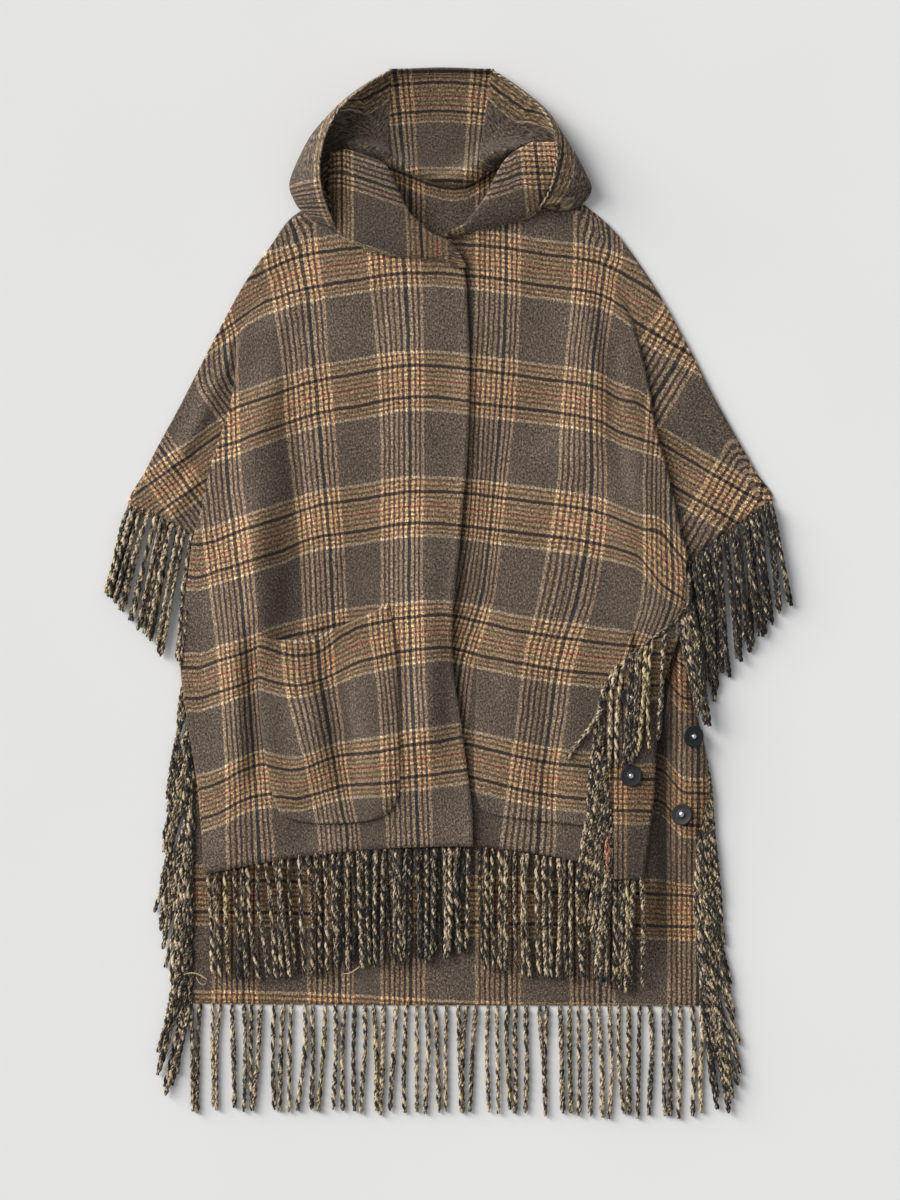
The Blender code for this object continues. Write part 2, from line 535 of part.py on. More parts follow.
def hood_grid(rows, times):
    t = np.linspace(0, len(rows) - 1, (len(rows) - 1) * times + 1)
    table = through([[list(p) for p in r] for r in rows], t)
    grid = []
    for r in table:
        curve = section(r, (2, 2, 3, 3, 2))
        grid.append([place(x, y, max(0.001 * z, BED)) for x, y, z in curve])
    return np.array(grid)


def lapel_grid(rows, times):
    t = np.linspace(0, len(rows) - 1, (len(rows) - 1) * times + 1)
    table = through([[*r.edge, *r.crest, r.back, r.drop] for r in rows], t)
    grid = []
    for ex, ey, ez, cx, cy, cz, back, drop in table:
        edge, crest = np.array([ex, ey, ez]), np.array([cx, cy, cz])
        inward = (edge - crest)[:2]
        inward /= np.linalg.norm(inward)

        def at(t, z):
            return [*(edge[:2] + (crest[:2] - edge[:2]) * t), z]

        rise = cz - ez
        points = [at(0, ez), at(0.12, ez + 0.42 * rise), at(0.45, ez + 0.82 * rise), at(0.85, cz), [cx, cy, cz - 1.6]]
        points.append([*(crest[:2] + inward * 0.35 * back), cz - 0.55 * drop - 0.8])
        points.append([*(crest[:2] + inward * back), cz - drop])
        curve = section(points, (1, 2, 2, 1, 1, 1))
        grid.append([place(x, y, 0.001 * z) for x, y, z in curve])
    return np.array(grid)


def fringe(item, surface):
    rows = item.rows
    grid = np.zeros((len(rows), 2, 3))
    for i, r in enumerate(rows):
        base = 0.001 * r.base + item.thick / 2
        grid[i, 0], grid[i, 1] = place(r.ax, r.ay, base), place(r.bx, r.by, base)
    return wall(item.name, grid, surface, item.thick, upright=True)


def turned(name, profile, sides, at, normal, surface):
    """A round piece from a profile of (radius, height), set at a point along a normal."""
    up = np.array(normal, float) / np.linalg.norm(normal)
    side = np.cross([0, 1, 0], up)
    side /= np.linalg.norm(side)
    other = np.cross(up, side)
    points, faces = [], []
    for radius, height in profile:
        for k in range(sides):
            a = 2 * math.pi * k / sides
            points.append(at + radius * (math.cos(a) * side + math.sin(a) * other) + height * up)
    for i in range(len(profile) - 1):
        for k in range(sides):
            a, b = i * sides + k, i * sides + (k + 1) % sides
            faces += [(a, b, b + sides), (a, b + sides, a + sides)]
    for base, flip in ((0, True), ((len(profile) - 1) * sides, False)):
        for k in range(1, sides - 1):
            tri = (base, base + k, base + k + 1)
            faces.append(tri[::-1] if flip else tri)
    return add_mesh(name, points, faces, surface)


def snap(number, at, normal, black, metal):
    """A covered snap disc with its metal stud, seated just clear of the cloth."""
    up = np.array(normal, float) / np.linalg.norm(normal)
    seat = np.asarray(at) + up * (CLOTH / 2 + SNAP_CLEAR)
    r, t = SNAP_RADIUS, SNAP_THICK
    turned(f"snap_disc_{number}", [(r - 0.0006, 0), (r, 0.0007), (r, t - 0.0009), (r - 0.0009, t)], 24, seat, up, black)
    top = seat + up * (t + GAP)
    r, t = STUD_RADIUS, STUD_HEIGHT
    turned(f"snap_stud_{number}", [(r, 0), (r, 0.4 * t), (0.75 * r, 0.82 * t), (0.35 * r, t)], 12, top, up, metal)


# ---------------------------------------------------------------- the cape

wool = material("wool_check", WOOL)
wool_pocket = material("wool_check_pocket", WOOL_POCKET)
wool_hood = material("wool_check_hood", WOOL_HOOD)
yarn = material("fringe_yarn", YARN, 0.95)
black = material("snap_black", SNAP_BLACK, 0.6)
metal = material("snap_metal", STUD_METAL, 0.25, 1.0)

back = back_grid()
wall("back", back, wool)
grid, keep = front_grid(LEFT, True)
wall("front_left", grid, wool, keep=keep)
grid, keep = front_grid(RIGHT, False)
wall("front_right", grid, wool, keep=keep)
wall("side_strip_turned", strip_grid(RIGHT), wool)
wall("pocket_left", pocket_grid(LEFT_POCKET, LEFT), wool_pocket)
wall("pocket_right", pocket_grid(RIGHT_POCKET, RIGHT), wool_pocket)
wall("hood_side_left", hood_grid(HOOD_LEFT, 2), wool_hood)
wall("hood_gusset", hood_grid(HOOD_GUSSET, 2), wool_hood)
wall("hood_side_right", hood_grid(HOOD_RIGHT, 2), wool_hood)
wall("lapel_left", lapel_grid(LAPEL_LEFT, 1), wool_hood)
wall("lapel_right", lapel_grid(LAPEL_RIGHT, 1), wool_hood)
for item in FRINGES:
    fringe(item, yarn)

for number, (x, y) in enumerate(STRIP_SNAPS, 1):
    snap(number, place(x, y, RIGHT.height(x, y) + 2 * TURN_BEND), (0, 0, 1), black, metal)
for number, (x, y) in enumerate(BACK_SNAPS, 3):
    edge, right = float(read(ROLL_EDGE, y)), float(read([(r.right_y, r.right_x) for r in BACK_ROWS], y))
    roll = 0.001 * float(read([(r.right_y, r.roll) for r in BACK_ROWS], y))
    half = 0.5 * (right - edge) * SQUARE
    u = (x - 0.5 * (right + edge)) * SQUARE / half
    height = BED + roll * math.sqrt(1 - u * u)
    slope = -roll * u / math.sqrt(1 - u * u) / half
    snap(number, place(x, y, height), (-slope, 0, 1), black, metal)
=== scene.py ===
"""Looks of the hooded blanket cape, laid flat on its back, front up: woven check, nap, soft creases, twisted fringe and
open press studs. Places are (across, down) in squares of a drafting sheet, one square being SQUARE metres, as in the
part's own source; heights are in metres unless a table says millimetres."""

import math
from collections import namedtuple

import bpy
import numpy as np
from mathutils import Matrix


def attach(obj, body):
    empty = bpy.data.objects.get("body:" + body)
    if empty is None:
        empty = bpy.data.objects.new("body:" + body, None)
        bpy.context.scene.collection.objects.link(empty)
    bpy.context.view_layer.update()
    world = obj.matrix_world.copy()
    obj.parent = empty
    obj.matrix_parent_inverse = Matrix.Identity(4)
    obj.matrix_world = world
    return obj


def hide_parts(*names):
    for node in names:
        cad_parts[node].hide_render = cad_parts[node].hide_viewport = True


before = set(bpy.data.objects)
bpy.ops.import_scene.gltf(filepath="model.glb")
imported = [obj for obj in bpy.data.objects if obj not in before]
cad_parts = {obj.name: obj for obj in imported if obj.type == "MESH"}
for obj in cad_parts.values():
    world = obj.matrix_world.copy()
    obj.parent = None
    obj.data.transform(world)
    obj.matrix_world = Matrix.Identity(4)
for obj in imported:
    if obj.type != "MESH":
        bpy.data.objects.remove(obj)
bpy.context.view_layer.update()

SQUARE = 0.00115  # metres of cloth for each square of the sheet
SHEET_CENTRE = (446.0, 591.73)  # the square at the middle of the finished outline
CLOTH = 0.0022  # wall of the double-faced wool
GAP = 0.0003
LAYER = CLOTH + GAP
BED = CLOTH / 2
FRONT = BED + LAYER
BEND = 0.0022
TURN_BEND = 0.0030
TURN_CLEAR = 0.0012
POCKET_LIFT = 0.0034
SNAP_RADIUS, SNAP_THICK = 0.0124, 0.0026
SNAP_CLEAR = 0.0010
STUD_RADIUS, STUD_HEIGHT = 0.0027, 0.0014
SHELL = 0.0020  # wall of the cloth that shows
WARP_REPEAT, WEFT_REPEAT = 95.0, 125.5  # the check's repeats, in squares

rng = np.random.default_rng(20)

# ---------------------------------------------------------------- tables

# The back, one row for each crosswise section: where it starts at the left, its sag at the middle, and where it ends.
# rise is the height of its middle at the neck, and roll that of the rolled strip along its right side.
BackRow = namedtuple("BackRow", "left_x left_y mid_y right_x right_y rise roll")
BACK_ROWS = [
    BackRow(360, 170, 188, 526, 163, 6.2, 0),
    BackRow(338, 186, 202, 556, 182, 3.4, 0),
    BackRow(312, 204, 216, 583, 204, 0.4, 0),
    BackRow(289, 220, 232, 604, 221, 0, 0),
    BackRow(270, 247, 252, 627, 247, 0, 0),
    BackRow(245, 283, 285, 652, 283, 0, 0),
    BackRow(226, 317, 318, 672, 317, 0, 0),
    BackRow(202, 363, 363, 696, 363, 0, 0),
    BackRow(173, 421, 421, 726, 421, 0, 0),
    BackRow(148, 467, 467, 752, 467, 0, 0),
    BackRow(128, 506, 503, 773, 499, 0, 0),
    BackRow(160, 520, 521, 747, 518, 0, 0),
    BackRow(195, 540, 541, 711, 544, 0, 0),
    BackRow(194, 562, 562, 690, 563, 0, 0),
    BackRow(188, 606, 606, 691, 606, 0, 0),
    BackRow(187, 640, 640, 691, 640, 0, 3),
    BackRow(188, 672, 672, 691, 672, 0, 10),
    BackRow(190, 704, 704, 693, 704, 0, 14),
    BackRow(191, 740, 740, 703, 740, 0, 15),
    BackRow(191, 778, 778, 709, 778, 0, 15),
    BackRow(191, 812, 812, 706, 812, 0, 12),
    BackRow(191, 845, 845, 700, 845, 0, 6),
    BackRow(191, 880, 880, 697, 880, 0, 1),
    BackRow(191, 930, 930, 699, 930, 0, 0),
    BackRow(191, 975, 975, 706, 975, 0, 0),
    BackRow(191, 1003, 1005, 706, 1006, 0, 0),
]
# The left side of the rolled strip, from its top down.
ROLL_EDGE = [(600, 688), (640, 683), (660, 676), (688, 669), (720, 665), (746, 668), (779, 671), (820, 672), (880, 672), (1006, 672)]

# A front, one row for each section from the centre edge over the body, round the fold that lies over the sleeve wing,
# and out to the shoulder or cuff. lift counts BEND radii from the wing up to the body at the fold, and depth is how far
# the fold runs back under the body. bow lowers the middle of the wing. From UNDERARM down there is no wing.
FrontRow = namedtuple("FrontRow", "centre_x centre_y fold_x fold_y outer_x outer_y lift depth bow")
LEFT_FRONT = [
    FrontRow(352, 196, 322, 207, 290, 220, 0.0, 0, 0),
    FrontRow(373, 215, 310, 236, 270, 247, 0.0, 0, 0),
    FrontRow(398, 231, 286, 272, 245, 283, 0.1, 0, 0),
    FrontRow(425, 244, 262, 305, 226, 317, 0.4, 0, 0),
    FrontRow(449, 254, 245, 334, 209, 350, 1.0, 0, 0),
    FrontRow(464, 270, 238, 363, 194, 379, 1.8, 0, 0),
    FrontRow(467, 300, 234, 392, 178, 410, 2.8, 1, 0),
    FrontRow(469, 338, 227, 421, 161, 441, 3.6, 3, 0),
    FrontRow(470, 380, 216, 450, 147, 468, 4.0, 8, 0),
    FrontRow(469, 424, 208, 482, 138, 487, 4.0, 13, 0),
    FrontRow(467, 465, 202, 512, 131, 500, 4.0, 18, 0),
    FrontRow(463, 505, 194, 539, 128, 506, 4.0, 22, -5),
    FrontRow(459, 555, 189, 575, 124, 540, 3.2, 22, 0),
    FrontRow(453, 610, 182, 622, 120, 580, 2.4, 22, 0),
    FrontRow(453, 665, 182, 676, 120, 640, 2.2, 22, 0),
    FrontRow(460, 716, 189, 726, 120, 700, 2.2, 22, 0),
    FrontRow(466, 762, 197, 776, 120, 760, 2.2, 22, 0),
    FrontRow(472, 808, 202, 828, 120, 800, 2.2, 22, 0),
    FrontRow(473, 846, 205, 874, 120, 840, 2.2, 22, 0),
]
RIGHT_FRONT = [
    FrontRow(533, 196, 566, 206, 603, 220, 0.0, 0, 0),
    FrontRow(513, 206, 583, 235, 620, 238, 0.0, 0, 0),
    FrontRow(489, 216, 602, 262, 641, 268, 0.2, 0, 0),
    FrontRow(463, 227, 618, 297, 664, 303, 0.8, 0, 0),
    FrontRow(440, 238, 633, 328, 680, 332, 1.8, 0, 0),
    FrontRow(425, 252, 642, 359, 696, 362, 2.9, 1, 0),
    FrontRow(421, 285, 649, 393, 712, 394, 3.6, 3, 0),
    FrontRow(420, 325, 654, 425, 729, 425, 4.0, 7, 0),
    FrontRow(420, 370, 663, 457, 745, 453, 4.0, 11, 0),
    FrontRow(420, 415, 671, 490, 759, 478, 4.0, 16, 0),
    FrontRow(420, 460, 679, 527, 770, 495, 4.0, 20, 0),
    FrontRow(420, 505, 688, 563, 773, 499, 4.0, 24, -2),
    FrontRow(420, 540, 690, 585, 780, 520, 3.2, 20, 0),
    FrontRow(420, 570, 690, 604, 790, 560, 2.2, 16, 0),
    FrontRow(420, 610, 677, 640, 800, 600, 1.0, 12, 0),
    FrontRow(420, 655, 662, 688, 800, 660, 0.2, 12, 0),
    FrontRow(420, 705, 656, 742, 800, 700, 0.0, 12, 0),
    FrontRow(420, 755, 653, 797, 800, 760, 0.0, 12, 0),
    FrontRow(420, 805, 647, 845, 800, 800, 0.0, 12, 0),
    FrontRow(420, 845, 643, 879, 800, 840, 0.0, 12, 0),
]
UNDERARM = 11  # the row of either front that runs along its cuff
# The free edge of the right front's turned side strip, from its top corner down.
STRIP_EDGE = [(604, 686), (618, 677), (636, 657), (647, 640), (661, 623), (681, 608), (706, 601), (749, 604), (780, 609), (834, 612), (879, 610)]

# Soft standing folds of the fronts: a ridge from one end to the other, its half width in squares and its height.
Ridge = namedtuple("Ridge", "x0 y0 x1 y1 half height")
RIDGES = [
    Ridge(262, 560, 262, 790, 20, 4.0),
    Ridge(352, 640, 372, 800, 26, 2.4),
    Ridge(300, 420, 280, 560, 34, 2.0),
    Ridge(560, 420, 600, 560, 34, 2.0),
    Ridge(520, 660, 536, 860, 26, 2.0),
]

# The patch pockets: one row for each section, its two ends, and how far it sags between them.
PocketRow = namedtuple("PocketRow", "left_x left_y right_x right_y sag")
LEFT_POCKET = [
    PocketRow(258, 633, 389, 604, 15),
    PocketRow(258, 672, 397, 650, 8),
    PocketRow(261, 725, 399, 705, 3),
    PocketRow(267, 765, 400, 765, 0),
    PocketRow(273, 795, 398, 797, 2),
    PocketRow(280, 812, 386, 814, 4),
    PocketRow(292, 818, 366, 821, 4),
]
RIGHT_POCKET = [
    PocketRow(483, 603, 633, 628, 0),
    PocketRow(478, 650, 631, 668, 0),
    PocketRow(475, 710, 628, 725, 0),
    PocketRow(474, 765, 624, 772, 0),
    PocketRow(476, 795, 617, 803, 0),
    PocketRow(482, 809, 606, 818, 1),
    PocketRow(494, 814, 590, 826, 1),
]

# The hood, one row for each section from its front edge: over the outside to the widest place, under to the floor,
# across to the neck, up the roll at the neck and down into the neck seam. Each place is across, down and height.
HoodRow = namedtuple("HoodRow", "edge side floor inner roll seam")
HOOD_LEFT = [
    HoodRow((392, 71, 16), (391, 71.5, 8), (391, 78, 2.0), (389, 138, 1.6), (390.5, 157, 19), (389, 166, 12)),
    HoodRow((368, 86, 22), (365.5, 86.5, 11), (371, 95, 2.5), (377, 136, 2.2), (375, 150, 20), (376, 162, 12)),
    HoodRow((344, 106, 30), (340, 106, 16), (346, 114, 3.0), (358, 136, 3.6), (356, 147, 18), (360, 158, 12)),
    HoodRow((329, 130, 40), (315, 133, 21), (322, 138, 4.0), (337, 142, 4.0), (342, 147, 7.0), (347, 155, 8.0)),
    HoodRow((322, 152, 47), (303, 154, 22), (308, 158, 2.4), (328, 163, 2.4), (338, 165, 3.6), (346, 168, 5.0)),
    HoodRow((320, 176, 50), (292, 182, 20), (298, 186, 2.4), (324, 187, 3.4), (336, 188, 5.4), (346, 189, 6.8)),
    HoodRow((323, 196, 42), (295.5, 199, 17), (303, 203, 6.6), (324, 203, 6.6), (336, 204, 6.8), (347, 205, 6.8)),
    HoodRow((329, 214, 27), (304.5, 212, 12.5), (311, 215, 6.8), (327, 214, 6.8), (338, 214, 6.8), (348, 214, 6.8)),
    HoodRow((336, 230, 13.5), (323, 224, 10.2), (325, 223, 7.2), (333, 222, 6.8), (341, 221, 6.8), (349, 220, 6.8)),
]
HOOD_GUSSET = [
    HoodRow((393, 70.5, 16), (392.5, 71, 8), (392, 78, 2.0), (390, 138, 1.6), (391.5, 157.4, 19), (390, 166.4, 12)),
    HoodRow((416, 70, 15), (416, 70.5, 7.5), (416, 77, 1.8), (414, 150, 1.5), (413, 168, 18), (413, 175, 11.5)),
    HoodRow((441, 69.5, 14.5), (441, 70, 7), (441, 77, 1.6), (441, 160, 1.4), (441, 178, 17), (442, 185, 11.5)),
    HoodRow((466, 70, 15), (466, 70.5, 7.5), (466, 77, 1.8), (464, 152, 1.5), (464, 172, 19), (466, 185, 11.5)),
    HoodRow((490, 70.5, 16), (490.5, 71, 8), (490, 78, 2.0), (481, 138, 1.6), (478, 162, 20), (482, 176, 12)),
]
HOOD_RIGHT = [
    HoodRow((491, 71, 16), (492, 71.5, 8), (491, 78, 2.0), (482, 138, 1.6), (479, 161.6, 20), (483, 175.6, 12)),
    HoodRow((515, 88, 22), (517.5, 88.5, 11), (511, 97, 2.5), (498, 134, 2.2), (494, 155, 21), (496, 167, 12)),
    HoodRow((541, 111, 30), (545, 111, 16), (538, 119, 3.0), (520, 138, 3.6), (514, 149, 19), (511, 158, 12)),
    HoodRow((552, 130, 36), (560, 132, 20), (553, 138, 4.0), (538, 143, 4.4), (532, 147, 7.0), (528, 153, 8.0)),
    HoodRow((557, 150, 38), (574, 154, 20), (567, 158, 2.8), (547, 160, 3.0), (538, 162, 4.6), (529, 165, 6.0)),
    HoodRow((555.5, 168, 35), (584, 174, 19), (579, 184, 4.0), (551, 181, 4.4), (540, 181, 6.0), (529, 181, 6.8)),
    HoodRow((552, 185, 31), (588.5, 188, 18), (581, 202, 7.2), (552, 194, 6.8), (541, 192, 6.8), (530, 191, 6.8)),
    HoodRow((546, 199, 26), (573, 197, 16), (570, 209, 7.2), (548, 203, 6.8), (540, 200, 6.8), (531, 199, 6.8)),
    HoodRow((539, 209, 20), (554, 205, 13.5), (553, 211, 8.0), (543, 209, 6.9), (538, 207, 6.8), (532, 206, 6.8)),
]

# The rolled front edges of the neck: one row for each section, its free edge, the crest that it rolls over, and how far
# it then runs back under itself and drops.
LapelRow = namedtuple("LapelRow", "edge crest back drop")
LAPEL_LEFT = [
    LapelRow((331, 153, 11), (346, 151, 24), 3, 6.0),
    LapelRow((329.5, 165, 10), (366, 158, 28), 7, 6.5),
    LapelRow((329, 180, 10), (386, 168, 32), 10, 7.0),
    LapelRow((330, 200, 10), (397, 190, 31), 10, 8.0),
    LapelRow((333.5, 219, 10), (408, 213, 29), 10, 8.0),
    LapelRow((341, 236, 10), (420, 225, 26), 10, 8.0),
    LapelRow((359, 246, 10), (431, 235, 23), 9, 7.0),
    LapelRow((386, 255, 11), (440, 239, 20.5), 8, 6.0),
    LapelRow((413, 258, 12), (450, 244, 19), 6, 6.0),
    LapelRow((440, 260, 12.5), (459, 255, 17.5), 3, 5.5),
    LapelRow((458, 269, 13), (466, 268, 16), 1, 5.0),
]
LAPEL_RIGHT = [
    LapelRow((557, 144, 30), (533, 144, 28), 3, 6.0),
    LapelRow((558, 156, 32), (516, 153, 31), 7, 7.0),
    LapelRow((556, 169, 29.5), (504, 164, 33), 10, 8.0),
    LapelRow((552, 184, 25.5), (496, 178, 32), 10, 8.0),
    LapelRow((546, 198, 20.5), (489, 193, 30), 10, 8.0),
    LapelRow((539, 209.5, 14), (482, 204, 27), 10, 8.0),
    LapelRow((527, 218, 11.5), (474, 214, 23), 8, 7.0),
    LapelRow((493, 227, 9.5), (464, 225, 16.5), 4, 4.5),
    LapelRow((470, 232, 8.8), (454, 230, 12.5), 0, 3.0),
    LapelRow((455, 236, 8.4), (444, 236, 10), -1, 2.0),
]

# The snaps, by their centres: two on the turned side strip and two on the back's rolled strip.
STRIP_SNAPS = [(630.5, 775.5), (631, 697)]
BACK_SNAPS = [(692, 736), (682, 814)]

# Soft creases of the cloth: from one end to the other, half width in squares, height in millimetres, below 0 a trough.
Crease = namedtuple("Crease", "x0 y0 x1 y1 half height")
CREASES_LEFT = [
    Crease(252, 400, 262, 620, 24, 3.4),
    Crease(288, 380, 298, 610, 10, -2.6),
    Crease(326, 420, 322, 600, 26, 2.2),
    Crease(232, 560, 236, 760, 20, 2.6),
    Crease(251, 640, 252, 770, 8, -2.4),
    Crease(296, 655, 312, 800, 20, 3.2),
    Crease(330, 655, 350, 790, 13, -2.6),
    Crease(376, 640, 384, 800, 24, 2.0),
    Crease(424, 520, 428, 760, 22, 2.6),
    Crease(448, 600, 452, 730, 10, -1.4),
    Crease(250, 330, 300, 300, 16, 1.4),
    Crease(345, 290, 340, 420, 34, 1.2),
    Crease(410, 300, 405, 480, 30, 1.0),
    Crease(216, 800, 222, 860, 14, 1.6),
    Crease(340, 800, 352, 850, 20, 1.4),
    Crease(300, 780, 308, 850, 16, -1.2),
    Crease(258, 500, 262, 640, 17, 1.4),
    Crease(284, 530, 292, 622, 11, -2.0),
]
CREASES_RIGHT = [
    Crease(604, 300, 611, 430, 11, -2.4),
    Crease(582, 290, 586, 450, 22, 1.8),
    Crease(626, 330, 634, 420, 10, 1.6),
    Crease(560, 430, 596, 560, 30, 2.2),
    Crease(545, 560, 560, 640, 30, 1.2),
    Crease(620, 470, 640, 560, 20, 1.6),
    Crease(505, 620, 520, 780, 28, 1.8),
    Crease(548, 700, 552, 830, 14, -1.2),
    Crease(570, 640, 578, 800, 22, 1.6),
    Crease(500, 280, 500, 420, 26, 1.0),
    Crease(530, 460, 520, 560, 26, 1.2),
    Crease(486, 800, 500, 850, 14, -1.0),
    Crease(476, 600, 480, 760, 16, -1.0),
    Crease(640, 400, 652, 500, 12, 1.2),
]
CREASES_WING = [
    Crease(215, 400, 168, 470, 9, 2.0),
    Crease(206, 440, 172, 500, 7, -1.0),
    Crease(196, 480, 168, 520, 8, 1.8),
    Crease(236, 345, 206, 400, 9, 1.4),
    Crease(668, 400, 724, 480, 10, 1.8),
    Crease(678, 440, 728, 500, 7, -1.0),
    Crease(690, 480, 728, 524, 9, 2.0),
    Crease(660, 350, 694, 400, 10, 1.4),
]

# Real wool stands a little higher in its folds than first read off the shading.
CREASES_LEFT, CREASES_RIGHT, CREASES_WING = ([c._replace(height=c.height * 2.5) for c in table] for table in (CREASES_LEFT, CREASES_RIGHT, CREASES_WING))
CREASES_LEFT += [
    Crease(256, 520, 260, 640, 13, 4.5),
    Crease(284, 535, 288, 622, 11, -4.5),
    Crease(299, 430, 298, 600, 8, -3.0),
    Crease(240, 640, 241, 780, 9, 3.0),
    Crease(251, 640, 252, 775, 8, -3.5),
    Crease(313, 655, 332, 790, 11, 3.0),
    Crease(328, 650, 351, 790, 10, -4.0),
    Crease(424, 630, 430, 745, 18, 4.5),
    Crease(370, 700, 380, 800, 14, 2.0),
]
CREASES_RIGHT += [
    Crease(596, 300, 600, 420, 12, 3.0),
    Crease(640, 440, 660, 540, 14, 3.0),
    Crease(616, 440, 640, 560, 10, -2.5),
    Crease(486, 560, 500, 700, 12, -2.0),
]

# Cross rows give the squares down at evenly spaced squares across; lengthwise rows give the squares across of each
# edge of its groups.
Cross = namedtuple("Cross", "at down")
Length = namedtuple("Length", "down across")
EDGES_LEFT = (0, 46.5, 95, 141.5, 190, 236.5)
EDGES_RIGHT = (285, 331.5, 380, 426.5, 475, 521.5)
CROSS_LEFT = (200, 20, [
    Cross(0, (318, 299, 284, 268.5, 262.6, 255, 251.5, 248.5, 246.2, 242.7, 240.6, 240.4, 240.4, 241.5, 244)),
    Cross(33, (352, 333, 318, 304, 297, 290.3, 286, 282.6, 279.8, 275.9, 273.6, 273.2, 273.4, 275.3, 278)),
    Cross(125.5, (424, 414, 405, 398.3, 391.4, 384.3, 379, 375.3, 371.6, 368, 365.2, 364.3, 364.8, 367, 369.5)),
    Cross(158.5, (455, 447, 441.5, 433, 425.5, 418.7, 412.8, 409, 405.7, 401.4, 397.9, 396.8, 397.6, 399.8, 402)),
    Cross(251, (543, 538, 529.9, 523.4, 516.8, 510, 503.8, 500.7, 498.0, 494.7, 491.3, 490, 490.4, 491.5, 493)),
    Cross(284, (577, 570.5, 564.3, 557.5, 551.6, 542.5, 536.6, 533.9, 530.9, 527.4, 524, 522.7, 523.4, 525.5, 528)),
    Cross(376.5, (666, 658.5, 652.8, 644.6, 637.3, 632.6, 627.6, 622.5, 619.8, 618, 616.6, 614.5, 613.4, 614.9, 618.5)),
    Cross(409.5, (698, 691.6, 685, 677, 670.5, 666.2, 661.5, 657.5, 655, 653.5, 651.6, 648.8, 646.8, 648, 651)),
    Cross(502, (787, 781, 770, 763, 762, 760, 757, 753.5, 750.8, 748, 744.7, 741.8, 739.5, 735.6, 732)),
    Cross(535, (818, 812, 801, 794.5, 792.4, 790, 788, 785.3, 782.8, 780, 777.2, 775.5, 773, 770.3, 767)),
])
LENGTH_LEFT = (240, 60, [
    Length(240, (165, 214, 261, 317, 366, 420)), Length(300, (186, 232, 272, 325, 371, 423)),
    Length(360, (192, 238, 281, 329, 377, 424)), Length(420, (196, 240, 285, 335, 380, 424)),
    Length(480, (197, 243, 292, 339, 380.5, 424)), Length(540, (203, 251, 299, 344, 380.5, 423)),
    Length(600, (211, 257, 302, 347, 380.5, 423)), Length(660, (218, 260, 305, 350, 381, 425)),
    Length(720, (223, 264, 310, 353, 382.5, 428)), Length(780, (226, 269, 314, 357, 384, 431)),
    Length(840, (226, 274, 318, 361, 386, 433)), Length(900, (228, 277, 322, 365, 388, 435)),
])
CROSS_RIGHT = (440, 20, [
    Cross(0, (242, 243.3, 244.7, 246.2, 249.3, 252.8, 255.2, 257.7, 262, 271, 284.5, 298.5, 313, 328)),
    Cross(33, (273.2, 274.8, 276.8, 279.3, 282, 285.3, 287.7, 290.2, 294.6, 305.5, 322, 336.2, 348, 360)),
    Cross(125.5, (366, 367.5, 369.4, 371.7, 374.4, 377.2, 379.9, 382.7, 388, 398, 403.6, 420, 436, 450)),
    Cross(158.5, (400.5, 402, 403.7, 406, 408.2, 410.6, 413.2, 416.6, 421.5, 432.6, 439.3, 446, 460, 474)),
    Cross(251, (490.5, 491.3, 493.2, 496, 498.7, 501.1, 503.7, 506.8, 511.3, 519, 527, 530.5, 554, 575)),
    Cross(284, (524.5, 525.4, 527.5, 530, 532.5, 534.9, 537.3, 540, 544, 549.5, 558, 583.5, 597, 613)),
    Cross(376.5, (613, 615.4, 620.2, 625.3, 629.7, 633, 635.9, 638.5, 641.2, 643.3, 645.5, 650, 665, 680)),
    Cross(409.5, (646, 649.7, 655, 659.3, 662.9, 666.3, 669.6, 671.9, 673.8, 675.5, 677.5, 682, 695, 710)),
    Cross(502, (737, 741.3, 745.4, 750, 755, 759.4, 762, 764.3, 766, 767, 768, 769, 770, 771)),
    Cross(535, (771, 774.6, 778.6, 783.6, 788.6, 793, 795.9, 797.7, 799, 800, 801, 802, 803, 804)),
])
LENGTH_RIGHT = (240, 60, [
    Length(240, (475, 521, 573, 624, 668, 712)), Length(300, (475, 520, 571, 614, 658, 700)),
    Length(360, (472, 518, 565, 606, 650, 690)), Length(420, (470, 514, 560, 605, 645, 688)),
    Length(480, (468.6, 507, 557, 607, 642, 684)), Length(540, (464, 501, 548, 605, 642.5, 684)),
    Length(600, (452, 494, 537, 595, 640, 686)), Length(660, (434, 475, 523, 575, 622, 662)),
    Length(720, (427, 468, 516, 566, 612, 652)), Length(780, (418, 461, 508, 557, 604, 648)),
    Length(840, (408, 453, 500, 556, 598, 643)), Length(900, (400, 447, 494, 551, 594, 640)),
])
CROSS_POCKET = (260, 20, [
    Cross(376.5, (644.5, 651.2, 654.2, 650.2, 635.6, 625.4, 620.6, 617.6)),
    Cross(409.5, (677, 683, 684.8, 679.6, 670.8, 661.6, 657, 651.8)),
    Cross(502, (762, 767, 767.8, 760.2, 754, 752, 749.6, 746.5)),
    Cross(535, (794, 796.2, 797.3, 791.6, 785.8, 783.9, 782.6, 781)),
])
LENGTH_POCKET = (600, 40, [
    Length(600, (189, 235, 279, 331, 367, 415)), Length(640, (192, 238, 281, 334, 370, 415)),
    Length(680, (196, 240, 284, 337, 376, 418)), Length(720, (206, 250, 293, 343, 379.5, 422)),
    Length(760, (217, 262, 304, 347, 380.5, 426)), Length(800, (226, 271, 312, 353, 382, 429)),
    Length(840, (229, 274, 318, 361, 386, 433)),
])
